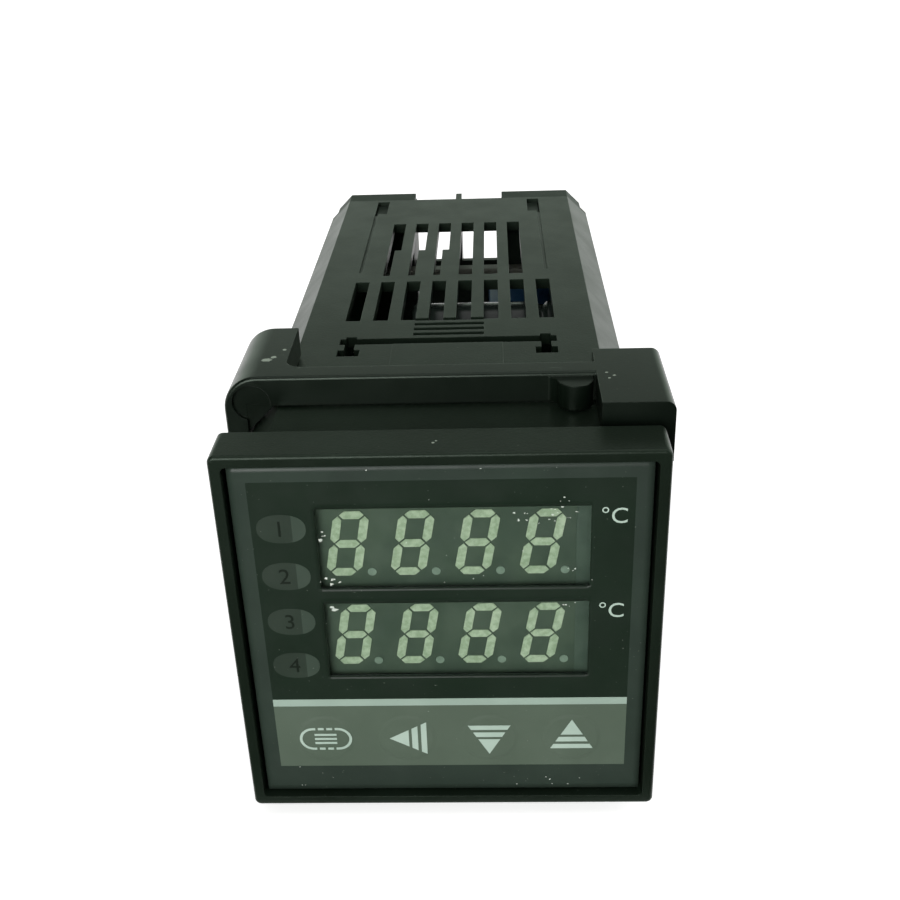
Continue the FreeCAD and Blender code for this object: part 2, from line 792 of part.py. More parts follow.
def indicator_leds():
    """Four round light-emitting diodes that stand on the display board."""
    solids = []
    for z in oval_z:
        tip = recess_floor + guide_gap
        dome = rod(led_r, (oval_x, tip + led_r, z), (0, 1, 0), display_board_y - tip - led_r)
        nose = Part.makeSphere(led_r, Vector(oval_x, tip + led_r, z))
        base = rod(led_flange_r, (oval_x, display_board_y - led_flange, z), (0, 1, 0), led_flange)
        solids.append(union([dome, nose, base]))
    return Part.makeCompound(solids)


def display_board():
    """Upright board behind the front panel."""
    return prism_y(octagon(display_board_half_w, display_board_half_h, body_chamfer),
                   display_board_y, display_board_back)


def key_plunger(x):
    """Round key behind the film's key area."""
    return rod(key_hole_r - key_clearance, (x, key_front, key_z), (0, 1, 0), panel_thickness)


def key_stem(x):
    """Switch stem that the key presses."""
    length = switch_top - recess_floor + stem_engagement
    return rod(stem_r, (x, recess_floor, key_z), (0, 1, 0), length)


def tact_switches():
    """Square switch bodies on the display board, each open for its stem."""
    solids = []
    half = switch_size / 2
    for x in key_x:
        body = block((x - half, x + half), (switch_top, display_board_y), (key_z - half, key_z + half))
        well = rod(stem_r + stem_clearance, (x, switch_top, key_z), (0, 1, 0), stem_engagement + stem_room)
        solids.append(body.cut(well))
    return Part.makeCompound(solids)


# ---------------------------------------------------------------- boards and their parts
def side_board(side):
    """Upright board along one side, from the display board to the rear sockets."""
    x = side * board_x
    return block((x - board_thickness / 2, x + board_thickness / 2),
                 (display_board_back, board_rear), (-board_half_h, board_half_h))


def on_board(side, size, y, z):
    """Box of a component standing on a side board's inner face."""
    x = side * board_inner_face
    return block((x - side * size[0], x), (y, y + size[1]), (z, z + size[2]))


def electrolytic(radius, length, y, z):
    """Capacitor lying across the housing, with a rolled groove near its foot."""
    can = rod(radius, (board_inner_face - length, y, z), (1, 0, 0), length)
    rims = [e for e in can.Edges if e.Length > radius * 6 or e.Closed]
    can = can.makeFillet(radius * 0.08, [e for e in rims if e.Closed])
    bead = Part.makeTorus(radius + cap_bead_r * 0.4, cap_bead_r,
                          Vector(board_inner_face - length * 0.12, y, z), Vector(1, 0, 0))
    return can.cut(bead)


def small_capacitors():
    """Row of small capacitors in front of the output relay."""
    return Part.makeCompound([electrolytic(small_cap_r, small_cap_length,
                                           last_small_cap_y - small_cap_pitch * n, small_cap_z)
                              for n in range(small_caps)])


def transformer_core():
    """Ferrite core: two backs, two outer legs and a middle leg along the housing."""
    dx, dy, dz = core_size
    x = (board_inner_face - dx + core_bulge, board_inner_face - core_bulge)
    outer = block(x, (core_y, core_y + dy), (core_z, core_z + dz))
    middle = core_z + dz / 2
    cutters = []
    for z in ((core_z + core_leg, middle - core_leg / 2), (middle + core_leg / 2, core_z + dz - core_leg)):
        cutters.append(block((x[0] - wall, x[1] + wall), (core_y + core_leg, core_y + dy - core_leg), z))
    return outer.cut(Part.makeCompound(cutters))


def transformer_winding():
    """Wound bobbin around the core's middle leg, seated on the board."""
    dx, dy, dz = core_size
    y = (core_y + core_leg + winding_gap, core_y + dy - core_leg - winding_gap)
    middle = core_z + dz / 2
    half = dz / 2 - core_leg - winding_gap
    coil = block((board_inner_face - dx, board_inner_face), y, (middle - half, middle + half))
    leg_half = core_leg / 2 + winding_gap
    hole = block((board_inner_face - dx + core_bulge - winding_gap,
                  board_inner_face - core_bulge + winding_gap),
                 (y[0] - wall, y[1] + wall), (middle - leg_half, middle + leg_half))
    return round_edges(coil, core_bulge / 2, (0, 1, 0)).cut(hole)


def varistor():
    """Disc-shaped surge arrester lying flat on its board."""
    return rod(varistor_r, (board_inner_face - varistor_thickness, varistor_y, varistor_z),
               (1, 0, 0), varistor_thickness)


def board_spacer():
    """Bar that keeps the two side boards apart at the rear."""
    reach = board_inner_face
    return block((-reach, reach), (spacer_y, spacer_y + spacer_depth),
                 (spacer_z, spacer_z + spacer_height))


def board_headers():
    """Pin headers that join the side boards to the display board."""
    dx, dy, dz = header_size
    solids = []
    for side in (-1, 1):
        x = side * board_inner_face
        solids.append(block((x - side * dx, x), (display_board_back, display_board_back + dy),
                            (header_z, header_z + dz)))
    return Part.makeCompound(solids)


def relays():
    """Two alarm relays on the left board."""
    step = alarm_size[1] + alarm_gap
    return Part.makeCompound([on_board(-1, alarm_size, last_alarm_y - step * n, alarm_z)
                              for n in range(alarm_relays)])


def amplifiers():
    """Row of small circuits on the left board."""
    return Part.makeCompound([on_board(-1, amp_size, y, amp_z) for y in amp_y])


# ---------------------------------------------------------------- all the pieces
def mirrored(shape):
    """Mirror image of a right-hand piece for the left side."""
    return shape.mirror(Vector(0, 0, 0), Vector(1, 0, 0))


def build():
    """Every piece by name."""
    strip = terminal_strip()
    plates = terminal_plates()
    screws = terminal_screws()
    pieces = {
        "housing": housing(),
        "terminal_strip_right": strip,
        "terminal_strip_left": mirrored(strip),
        "terminal_plates_right": plates,
        "terminal_plates_left": mirrored(plates),
        "terminal_screws_right": screws,
        "terminal_screws_left": mirrored(screws),
        "mounting_bracket": mounting_bracket(),
        "front_panel": front_panel(),
        "latch_arms": latch_arms(),
        "front_film": front_film(),
        "display_lenses": display_lenses(),
        "upper_display": display_module(pv_z),
        "upper_segments": display_segments(pv_z),
        "lower_display": display_module(sv_z),
        "lower_segments": display_segments(sv_z),
        "light_guides": light_guides(),
        "indicator_leds": indicator_leds(),
        "display_board": display_board(),
        "tact_switches": tact_switches(),
        "power_board": side_board(1),
        "control_board": side_board(-1),
        "board_headers": board_headers(),
        "board_spacer": board_spacer(),
        "main_capacitor": electrolytic(cap_r, cap_length, cap_y, cap_z),
        "small_capacitors": small_capacitors(),
        "output_relay": on_board(1, relay_size, relay_y, relay_z),
        "alarm_relays": relays(),
        "transformer_core": transformer_core(),
        "transformer_winding": transformer_winding(),
        "varistor": varistor(),
        "microcontroller": on_board(-1, chip_size, chip_y, chip_z),
        "amplifiers": amplifiers(),
    }
    for name, x in zip(key_names, key_x):
        pieces[name + "_key"] = key_plunger(x)
        pieces[name + "_stem"] = key_stem(x)
    return pieces


os.makedirs("parts", exist_ok=True)
for name, shape in build().items():
    shape.exportStep("parts/%s.step" % name)
    print(name, len(shape.Solids), round(shape.Volume, 1), shape.isValid())
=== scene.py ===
import json
import math

import bmesh
import bpy
import numpy as np
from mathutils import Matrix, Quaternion, Vector

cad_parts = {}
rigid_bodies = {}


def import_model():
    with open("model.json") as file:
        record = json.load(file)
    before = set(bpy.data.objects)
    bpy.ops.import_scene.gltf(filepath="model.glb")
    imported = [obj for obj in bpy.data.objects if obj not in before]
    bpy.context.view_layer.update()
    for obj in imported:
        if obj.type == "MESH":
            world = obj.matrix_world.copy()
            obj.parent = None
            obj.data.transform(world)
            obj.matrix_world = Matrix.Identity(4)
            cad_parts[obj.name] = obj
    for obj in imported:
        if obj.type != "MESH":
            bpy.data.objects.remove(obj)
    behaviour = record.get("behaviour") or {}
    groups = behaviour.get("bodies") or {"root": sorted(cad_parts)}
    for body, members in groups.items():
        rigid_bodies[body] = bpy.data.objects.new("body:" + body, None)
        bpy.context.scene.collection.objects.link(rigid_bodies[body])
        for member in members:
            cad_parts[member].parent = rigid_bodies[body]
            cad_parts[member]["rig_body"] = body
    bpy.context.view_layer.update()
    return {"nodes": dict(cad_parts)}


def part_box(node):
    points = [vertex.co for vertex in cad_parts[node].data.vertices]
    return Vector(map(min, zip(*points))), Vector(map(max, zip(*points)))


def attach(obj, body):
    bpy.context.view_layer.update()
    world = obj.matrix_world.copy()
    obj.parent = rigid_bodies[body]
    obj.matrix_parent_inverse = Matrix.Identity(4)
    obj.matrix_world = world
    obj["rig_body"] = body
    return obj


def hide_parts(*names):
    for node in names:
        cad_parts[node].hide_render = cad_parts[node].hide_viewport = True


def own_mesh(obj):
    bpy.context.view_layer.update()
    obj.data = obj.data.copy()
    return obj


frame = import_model()

MM = 0.001
SMOOTH = {"interpolation_type": "SMOOTHSTEP"}  # a Map Range that eases in and out
BANDS = 0.314  # a Wave's band spacing times its Scale


# --- colour and nodes
def srgb(code):
    """Linear colour, with alpha 1, from an sRGB hex code."""
    parts = [int(code[i:i + 2], 16) / 255 for i in (0, 2, 4)]
    return [c / 12.92 if c <= 0.04045 else ((c + 0.055) / 1.055) ** 2.4 for c in parts] + [1.0]


def add(tree, kind, inputs=(), out=0, **settings):
    """Adds a node with its settings and gives one of its outputs. The inputs are a list in the
    order of its sockets, or a dict: each is a value, or a socket that is linked to it."""
    made = tree.nodes.new("ShaderNode" + kind)
    for name, value in settings.items():
        setattr(made, name, value)
    for name, value in inputs.items() if isinstance(inputs, dict) else enumerate(inputs):
        if isinstance(value, bpy.types.NodeSocket):
            tree.links.new(value, made.inputs[name])
        else:
            made.inputs[name].default_value = value
    return made.outputs[out] if len(made.outputs) else made


def bare(name):
    """A material without a shader, its tree, and its Object coordinates."""
    made = bpy.data.materials.new(name)
    made.use_nodes = True
    made.node_tree.nodes.clear()
    return made, made.node_tree, add(made.node_tree, "TexCoord", out="Object")


def surfaced(made, **sockets):
    """The material, ended with a Principled shader: what is even all over is set on its own
    sockets, and patterns are linked to them."""
    shader = add(made.node_tree, "BsdfPrincipled", {name.replace("_", " "): value
                                                    for name, value in sockets.items()})
    add(made.node_tree, "OutputMaterial", {"Surface": shader})
    return made


def patches(tree, place, size_mm, detail=3.0, step=(), rough=0.55):
    """A cloud whose patches are size_mm across, from 0 to 1. A step (low, high) sharpens it to go
    from 0 to 1 between two of its levels, and two more numbers give other ends than 0 and 1."""
    cloud = add(tree, "TexNoise", {"Vector": place, "Scale": 1.0 / (size_mm * MM),
                                   "Detail": detail, "Roughness": rough})
    return add(tree, "MapRange", [cloud, *step], **SMOOTH) if step else cloud


def coats(tree, ground, layers):
    """A ground colour under further ones, each a pair of how far it covers, from 0 to 1, and its
    hex code. A Mix node's colours are its sockets 6 and 7, and 2 on the way out."""
    colour = srgb(ground)
    for share, code in layers:
        colour = add(tree, "Mix", {0: share, 6: colour, 7: srgb(code)}, 2, data_type="RGBA")
    return colour


def relief(tree, heights, edge_mm=0.0):
    """One bump from pairs of a height, from 0 to 1, and its depth in mm, finest last, over edges
    that are rounded to the eye by edge_mm."""
    normal = add(tree, "Bevel", {"Radius": edge_mm * MM}, samples=4) if edge_mm else None
    for height, depth_mm in heights:
        under = {} if normal is None else {"Normal": normal}
        normal = add(tree, "Bump", {"Height": height, "Distance": depth_mm * MM,
                                    "Strength": 1.0, **under})
    return normal


# --- moulded plastics
def moulded(name, colour, faded, roughness, grain_mm, grain_depth, ior=1.5, gloss=0.5, dust=0.0,
            scuffs=0.0, chips=()):
    """Injection-moulded plastic: the mould's grain, drawn coarse enough to show, cloudy fading,
    dust on tops, faint rub marks and softened edges. Each chip is a place (x, y, z) and a size in
    mm, where the plastic is bruised pale and dented."""
    made, tree, place = bare(name)
    layers = [(patches(tree, place, 14.0, 4.0, (0.35, 0.70)), faded)]
    heights = [(patches(tree, place, grain_mm, 2.0), grain_depth)]
    if dust:
        rise = add(tree, "SeparateXYZ", [add(tree, "NewGeometry", out="Normal")], "Z")
        tops = add(tree, "MapRange", [rise, 0.55, 0.95], **SMOOTH)
        specks = patches(tree, place, 0.30, 2.0, (0.70, 0.77))
        settled = add(tree, "Math", [specks, tops], operation="MULTIPLY")
        layers.append((add(tree, "Math", [settled, dust], operation="MULTIPLY"), "8f998c"))
    if scuffs:
        rubbed = add(tree, "Mapping", {"Vector": place, "Rotation": (0.0, 0.0, math.radians(24)),
                                       "Scale": (1.0, 14.0, 14.0)})
        lines = patches(tree, rubbed, 16.0, 3.0, (0.70, 0.74), 0.6)
        heights.insert(0, (lines, -0.01))
        layers.append((add(tree, "Math", [lines, scuffs], operation="MULTIPLY"), "6c766a"))
    for x, y, z, size in chips:
        away = add(tree, "VectorMath", [place, (x * MM, y * MM, z * MM)], "Value",
                   operation="DISTANCE")
        ragged = add(tree, "Math", [patches(tree, place, 0.5), 0.8 * size * MM],
                     operation="MULTIPLY")
        reach = add(tree, "Math", [away, ragged], operation="ADD")
        bruise = add(tree, "MapRange", [reach, 0.95 * size * MM, 0.75 * size * MM], **SMOOTH)
        heights.append((bruise, -0.05))
        layers.append((bruise, "98a495"))
    return surfaced(made, Base_Color=coats(tree, colour, layers), IOR=ior, Specular_IOR_Level=gloss,
                    Specular_Tint=srgb("dcf0de"), Normal=relief(tree, heights, edge_mm=0.15),
                    Roughness=patches(tree, place, 5.0, 4.0,
                                      (0.3, 0.7, roughness - 0.02, roughness + 0.03)))


# Case: black ABS, moulded against a spark-eroded steel face. Its broad faces look dark grey-green
# and its far end catches the pale light that lies low behind it.
case_abs = moulded("moulded_abs_case", "131d14", "18231a", 0.36, 0.28, 0.018, dust=0.30,
                   chips=((-0.6, -3.1, 24.0, 0.35), (-0.3, -2.7, 24.0, 0.3)))
# Bezel rim and front panel: the same ABS with a smoother face, so it is darker and tighter.
bezel_abs = moulded("moulded_abs_bezel", "101911", "151f16", 0.38, 0.22, 0.008, gloss=0.35,
                    dust=0.12)
# Bracket: polycarbonate from a polished mould, nearly black, glossy and lightly rubbed.
bracket_pc = moulded(
    "moulded_polycarbonate_bracket", "08100a", "0d150e", 0.32, 0.5, 0.006, ior=1.58, dust=0.25,
    scuffs=0.30, chips=((-20.7, 14.6, 26.0, 1.1), (-20.0, 15.4, 26.0, 0.7),
                        (-19.0, 17.6, 26.0, 0.5), (18.4, 9.4, 26.0, 0.35),
                        (19.2, 8.6, 26.0, 0.4), (18.6, 7.9, 26.0, 0.3)))
# Terminal strips: glass-filled polyester, matt and a little chalky.
strip_pbt = moulded("moulded_polyester_terminal_strip", "18221a", "202b22", 0.50, 0.2, 0.012,
                    dust=0.2)
# Keys and stems: black acetal, waxy and smooth.
key_acetal = moulded("moulded_acetal_key", "16181a", "1d2022", 0.34, 0.6, 0.004, ior=1.48)
# Alarm relays, headers, switches and chips: black epoxy or nylon, with a fine matt face.
chip_epoxy = moulded("moulded_epoxy_chip", "17191a", "202324", 0.5, 0.12, 0.006)
# Output relay and varistor: deep blue thermoplastic, fairly glossy.
relay_blue = moulded("moulded_blue_relay_case", "1b4266", "204a70", 0.32, 0.5, 0.004)
# Spacer: natural nylon, milky and waxy. Ceramic chips look the same.
spacer_nylon = moulded("moulded_natural_nylon", "8f9085", "9b9c90", 0.4, 0.6, 0.004)
# Resistor bodies: dipped epoxy, a chalky sky blue.
dipped_epoxy = moulded("dipped_epoxy_resistor", "6f9db4", "7ba8bd", 0.45, 0.2, 0.008)


# --- printed film
def printed(name, colour, second, roughness=0.36):
    """Polyester film printed from behind: an even ink with a faint mottle and a few pale specks,
    under a fine satin face."""
    made, tree, place = bare(name)
    mottle = patches(tree, place, 9.0, 3.0, (0.35, 0.68))
    specks = patches(tree, place, 0.30, 1.0, (0.775, 0.80, 0.0, 0.35))
    satin = relief(tree, [(patches(tree, place, 3.0, 1.0), 0.010),
                          (patches(tree, place, 0.12, 2.0), 0.0025)])
    smear = patches(tree, place, 6.0, 5.0, (0.3, 0.7, roughness - 0.06, roughness + 0.08), 0.65)
    return surfaced(made, Base_Color=coats(tree, colour, [(mottle, second), (specks, "8c958a")]),
                    IOR=1.5, Specular_IOR_Level=0.35, Roughness=smear, Normal=satin)


# Inks, all behind the same satin film: a black field in a paler border, a grey key band under a
# whitish line, whitish symbols, and see-through ovals that are paler over their light guides.
ink_dark = printed("printed_polyester_black", "1d2b20", "212f24")
ink_border = printed("printed_polyester_border", "303c34", "354239")
ink_key_band = printed("printed_polyester_grey", "576657", "5c6b5c", 0.38)
ink_line = printed("printed_polyester_white", "9cb1a3", "a4b9ab", 0.38)
ink_symbol = printed("printed_polyester_symbol", "aec3b5", "b8ccbe", 0.38)
ink_oval = printed("printed_polyester_translucent_oval", "2f3b31", "354137")
ink_oval_lit = printed("printed_polyester_oval_over_guide", "3c4a3f", "425045")
ink_numeral = printed("printed_polyester_numeral", "1a231b", "1e281f")
# Flecks: torn scraps of a protective film, whitish and duller than the film they cling to.
fleck_white = printed("torn_film_fleck", "d5ded3", "e2e9df", 0.45)


def clear_window():
    """Clear acrylic pane: light goes straight through with a faint smoky tint, and its outer faces
    mirror by Fresnel. Its inner faces don't, because nothing bends the light on its way there."""
    made, tree, place = bare("moulded_clear_acrylic")
    haze = patches(tree, place, 4.0, 5.0, (0.35, 0.7), 0.6)
    through = add(tree, "BsdfTransparent", {"Color": coats(tree, "f4f8f4", [(haze, "f8fbf8")])})
    mirror = add(tree, "BsdfGlossy", {"Color": srgb("ffffff"), "Roughness": 0.10})
    inner = add(tree, "NewGeometry", out="Backfacing")
    outer = add(tree, "Math", [1.0, inner], operation="SUBTRACT")
    fresnel = add(tree, "Fresnel", {"IOR": 1.40})
    share = add(tree, "Math", [outer, fresnel], operation="MULTIPLY")
    add(tree, "OutputMaterial", {"Surface": add(tree, "MixShader", [share, through, mirror])})
    return made


window_clear = clear_window()


# --- displays and lamps
def clouded(name, colour, second, roughness, size_mm, scatter=0.0):
    """Paint, card, or cast epoxy or acrylic: an even colour with soft clouds, and a little light
    let in where scatter is set."""
    made, tree, place = bare(name)
    cloud = patches(tree, place, size_mm, 3.0, (0.35, 0.65))
    dull = patches(tree, place, 2.0, 4.0, (0.3, 0.7, roughness - 0.05, roughness + 0.05))
    return surfaced(made, Base_Color=coats(tree, colour, [(cloud, second)]), Roughness=dull,
                    Normal=relief(tree, [(patches(tree, place, 0.15, 2.0), 0.002)]),
                    Subsurface_Weight=scatter, Subsurface_Scale=0.8 * MM)


# Display face: a grey-painted front, matt, seen through the window.
display_grey = clouded("painted_display_face", "4c5a50", "556357", 0.5, 5.0)
# Mask strip: grey card beside the displays, a little paler than they are.
card_grey = clouded("grey_card_mask", "4c5b53", "54635a", 0.6, 3.0)
# Light bars: milky unlit epoxy, a pale yellow-green. Points: the same epoxy under a greyer mask.
segment_milky = clouded("cast_epoxy_light_bar", "a9baa0", "c6d3bd", 0.38, 0.7)
point_milky = clouded("cast_epoxy_light_point", "84958a", "8fa094", 0.42, 0.8)
# Light guides and lamps: frosted acrylic and milky epoxy.
guide_acrylic = clouded("frosted_acrylic_light_guide", "8d998a", "9aa697", 0.3, 2.0, 0.3)
led_milky = clouded("cast_epoxy_led", "aab49f", "b7c0ab", 0.25, 2.0, 0.3)


# --- metals
def plated(name, colour, roughness, squeezed=(1.0, 1.0, 1.0)):
    """Plated metal: bright, with a few dull patches, and marks drawn out along the axes that are
    squeezed least."""
    made, tree, place = bare(name)
    marks = patches(tree, add(tree, "Mapping", {"Vector": place, "Scale": squeezed}), 0.4)
    worn = add(tree, "MapRange", [marks, 0.3, 0.7, roughness - 0.06, roughness + 0.12], **SMOOTH)
    dull = patches(tree, place, 2.5, 4.0, (0.45, 0.7))
    return surfaced(made, Base_Color=coats(tree, colour, [(dull, "8f8d84")]), Metallic=1.0,
                    Roughness=worn, Normal=relief(tree, [(marks, 0.004)]))


# Terminal plates: nickel over brass, a warm grey with short marks.
contact_nickel = plated("nickel_plated_brass", "c9c6b6", 0.26, (1.0, 6.0, 1.0))
# Screws: zinc over steel, a cooler grey.
screw_zinc = plated("zinc_plated_steel", "c3c6c4", 0.30, (1.0, 1.0, 4.0))
# Capacitor ends: drawn aluminium, whose marks run along the can.
can_aluminium = plated("drawn_aluminium_can", "a9ada8", 0.34, (1.0, 6.0, 6.0))
# Solder: bright tin with dull patches. Pads: gold flashed over copper, a warm yellow.
solder_tin = plated("soldered_tin", "b9bcb9", 0.28)
pad_gold = plated("gold_flashed_copper_pad", "c2a46a", 0.34)


# --- boards and windings
def solder_resist():
    """Glass-epoxy board: green resist over straight copper tracks, which run one way or the other
    from patch to patch, with its weave faintly showing."""
    made, tree, place = bare("solder_resist_on_glass_epoxy")
    flat = add(tree, "Mapping", {"Vector": place, "Scale": (0.0, 1.0, 1.0)})
    cells = add(tree, "TexVoronoi", {"Vector": flat, "Scale": 1.0 / (9.0 * MM),
                                     "Randomness": 0.9}, "Color", distance="CHEBYCHEV")
    turn = add(tree, "MapRange", [add(tree, "SeparateColor", [cells]), 0.49, 0.51], **SMOOTH)
    stripes = [add(tree, "TexWave", {"Vector": flat, "Scale": BANDS / (1.1 * MM)}, "Fac",
                   bands_direction=direction) for direction in ("Y", "Z")]
    stripe = add(tree, "Mix", {"Factor": turn, "A": stripes[0], "B": stripes[1]})
    track = add(tree, "MapRange", [stripe, 0.52, 0.62], **SMOOTH)
    weave = add(tree, "TexChecker", {"Vector": flat, "Scale": 1.0 / (0.5 * MM)}, "Fac")
    return surfaced(made, Base_Color=coats(tree, "0f3c1f", [(track, "184c29")]), Roughness=0.28,
                    Normal=relief(tree, [(track, 0.015), (weave, 0.002)]))


def shrink_sleeve():
    """Shrunk PVC sleeve: dark grey-green and glossy, with fine creases that run along the can."""
    made, tree, place = bare("shrunk_pvc_sleeve")
    along = add(tree, "Mapping", {"Vector": place, "Scale": (0.3, 1.0, 1.0)})
    fold = patches(tree, along, 1.5)
    crease = add(tree, "MapRange", [fold, 0.4, 0.7], **SMOOTH)
    return surfaced(made, Base_Color=coats(tree, "2b3530", [(crease, "36413b")]), Roughness=0.24,
                    Normal=relief(tree, [(fold, 0.03)]))


def fired_ferrite():
    """Sintered ferrite: dark, dense grey with a sugary sparkle and ground faces."""
    made, tree, place = bare("sintered_ferrite")
    speck = patches(tree, place, 0.18, 2.0, (0.62, 0.72))
    return surfaced(made, Base_Color=coats(tree, "2b2b2d", [(speck, "5a5a5c")]), Roughness=0.55,
                    Normal=relief(tree, [(patches(tree, place, 0.15), 0.012)]))


def wound_tape():
    """Polyester tape over enamelled wire: amber, glossy, with each turn as a soft ridge."""
    made, tree, place = bare("polyester_tape_over_copper_wire")
    turns = add(tree, "TexWave", {"Vector": place, "Scale": BANDS / (0.5 * MM), "Distortion": 0.6,
                                  "Detail Scale": 2.0}, "Fac", bands_direction="Y")
    return surfaced(made, Base_Color=coats(tree, "8a5f16", [(turns, "c2912c")]), Roughness=0.22,
                    Normal=relief(tree, [(turns, 0.06)]))


board_green = solder_resist()
sleeve_pvc = shrink_sleeve()
core_ferrite = fired_ferrite()
tape_amber = wound_tape()


# --- surfaces from formulas
def pairs(first, second):
    """Every pair of a value from one row and a value from another, the second changing fastest."""
    u, v = np.meshgrid(first, second, indexing="ij")
    return np.column_stack([u.ravel(), v.ravel()])


def grid_faces(rows, columns, wrap=False):
    """Quads between neighbouring points of a grid stored row by row; wrap joins the last column to
    the first."""
    i, j = pairs(np.arange(rows - 1), np.arange(columns if wrap else columns - 1)).T
    k = (j + 1) % columns
    return np.stack([i * columns + j, i * columns + k,
                     (i + 1) * columns + k, (i + 1) * columns + j], 1)


def turned(profile, centre, axis, steps):
    """A profile of (radius, distance along the axis) pairs carried once round the axis: each point
    is the centre, plus its distance times the axis, plus its radius times a unit vector that goes
    round. The ends are closed where their radius is 0."""
    axis = np.array(axis, float) / np.linalg.norm(axis)
    side = np.cross(axis, (0.0, 0.0, 1.0) if abs(axis[2]) < 0.9 else (1.0, 0.0, 0.0))
    side /= np.linalg.norm(side)
    angle = np.linspace(0, 2 * np.pi, steps, endpoint=False)
    spoke = np.outer(np.cos(angle), side) + np.outer(np.sin(angle), np.cross(axis, side))
    profile = np.array(profile, float)
    points = (np.array(centre)[None, None] + profile[:, 1, None, None] * axis
              + profile[:, 0, None, None] * spoke[None])
    return points.reshape(-1, 3), grid_faces(len(profile), steps, wrap=True)


def rounded_block(low, high, radius, steps=2):
    """A box with rounded edges: each point of a gridded box moves to its nearest point on the box
    that is smaller by the radius, plus the radius times the direction to it. Rows crowd at the
    edges, at distances of the radius times the tangent of evenly spaced angles."""
    low, high = np.array(low, float), np.array(high, float)
    ease = radius * np.tan(np.linspace(0, np.pi / 4, steps + 1))
    lines = [np.concatenate([low[a] + radius - ease[::-1], high[a] - radius + ease])
             for a in range(3)]
    points, faces, start = [], [], 0
    for a in range(3):
        b, c = (a + 1) % 3, (a + 2) % 3
        sheet = np.zeros((len(lines[b]) * len(lines[c]), 3))
        sheet[:, [b, c]] = pairs(lines[b], lines[c])
        for end in (low, high):
            sheet[:, a] = end[a]
            points.append(sheet.copy())
            faces.append(grid_faces(len(lines[b]), len(lines[c])) + start)
            start += len(sheet)
    points, faces = np.concatenate(points), np.concatenate(faces)
    inner = np.clip(points, low + radius, high - radius)
    away = points - inner
    points = inner + radius * away / np.linalg.norm(away, axis=1)[:, None]
    _, first, again = np.unique(np.round(points / 1e-7), axis=0, return_index=True,
                                return_inverse=True)
    return points[first], again.reshape(-1)[faces]


def plate_from(outline, y, depth):
    """A flat outline of (x, z) points given a depth along Y: two copies of the ring and a wall
    between them."""
    front = np.insert(np.array(outline, float), 1, y, axis=1)
    count = len(front)
    ring = np.arange(count)
    after = np.roll(ring, -1)
    walls = np.stack([ring, after, after + count, ring + count], 1)
    return np.concatenate([front, front + (0.0, depth, 0.0)]), [ring[::-1], ring + count, *walls]


def ellipse(middle, half_width, half_height, power):
    """An outline whose points solve |x / half_width| ^ power + |z / half_height| ^ power = 1."""
    angle = np.linspace(0, 2 * np.pi, 48, endpoint=False)
    c, s = np.cos(angle), np.sin(angle)
    return np.column_stack([middle[0] + half_width * np.sign(c) * abs(c) ** (2 / power),
                            middle[1] + half_height * np.sign(s) * abs(s) ** (2 / power)])


def together(shapes):
    """Several (points, faces) shapes as one, and the number of the shape that each face is from."""
    points, faces, origin, start = [], [], [], 0
    for number, (shape_points, shape_faces) in enumerate(shapes):
        points.append(np.asarray(shape_points))
        faces += [np.asarray(face) + start for face in shape_faces]
        origin += [number] * len(shape_faces)
        start += len(shape_points)
    return (np.concatenate(points), faces), np.array(origin)


def repeated(shape, places):
    """Copies of one shape, each moved by one of the places."""
    points, faces = np.asarray(shape[0]), np.asarray(shape[1])
    places = np.asarray(places, float)
    starts = np.arange(len(places))[:, None, None] * len(points)
    return ((places[:, None] + points[None]).reshape(-1, 3),
            (faces[None] + starts).reshape(-1, faces.shape[1]))


# --- objects
def linked(name, data):
    """An object at the scene's origin for a mesh, a curve, a camera or a lamp."""
    made = bpy.data.objects.new(name, data)
    bpy.context.scene.collection.objects.link(made)
    return made


def shade(made, angle=30.0):
    """Smooth shading, with edges sharper than the angle kept sharp."""
    made.data.shade_smooth()
    made.data.set_sharp_from_angle(angle=math.radians(angle))


def dressed(mesh, *materials):
    """Gives a mesh its materials in place of those it had."""
    mesh.materials.clear()
    for material in materials:
        mesh.materials.append(material)


def piece(name, shape, materials, body="chassis", smooth=30.0, chosen=None):
    """A mesh piece from (points, faces), with its faces turned outwards, that rides on a body.
    chosen gives each face's material number."""
    points, faces = shape
    mesh = bpy.data.meshes.new(name)
    mesh.from_pydata(np.asarray(points).tolist(), [], [np.asarray(face).tolist() for face in faces])
    dressed(mesh, *materials)
    if chosen is not None:
        mesh.polygons.foreach_set("material_index", np.asarray(chosen, np.int32))
    work = bmesh.new()
    work.from_mesh(mesh)
    bmesh.ops.recalc_face_normals(work, faces=work.faces)
    work.to_mesh(mesh)
    work.free()
    made = linked(name, mesh)
    shade(made, smooth)
    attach(made, body)
    return made


def merged(node, *materials):
    """A copy of a CAD node's mesh with its triangles joined, and without the normals it had."""
    mesh = frame["nodes"][node].data.copy()
    work = bmesh.new()
    work.from_mesh(mesh)
    bmesh.ops.remove_doubles(work, verts=work.verts, dist=1e-6)
    work.to_mesh(mesh)
    work.free()
    if "custom_normal" in mesh.attributes:
        mesh.attributes.remove(mesh.attributes["custom_normal"])
    dressed(mesh, *materials)
    return mesh


def standing_for(node, name, mesh):
    """An object that replaces a CAD node, on its body."""
    made = linked(name, mesh)
    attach(made, frame["nodes"][node]["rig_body"])
    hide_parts(node)
    return made


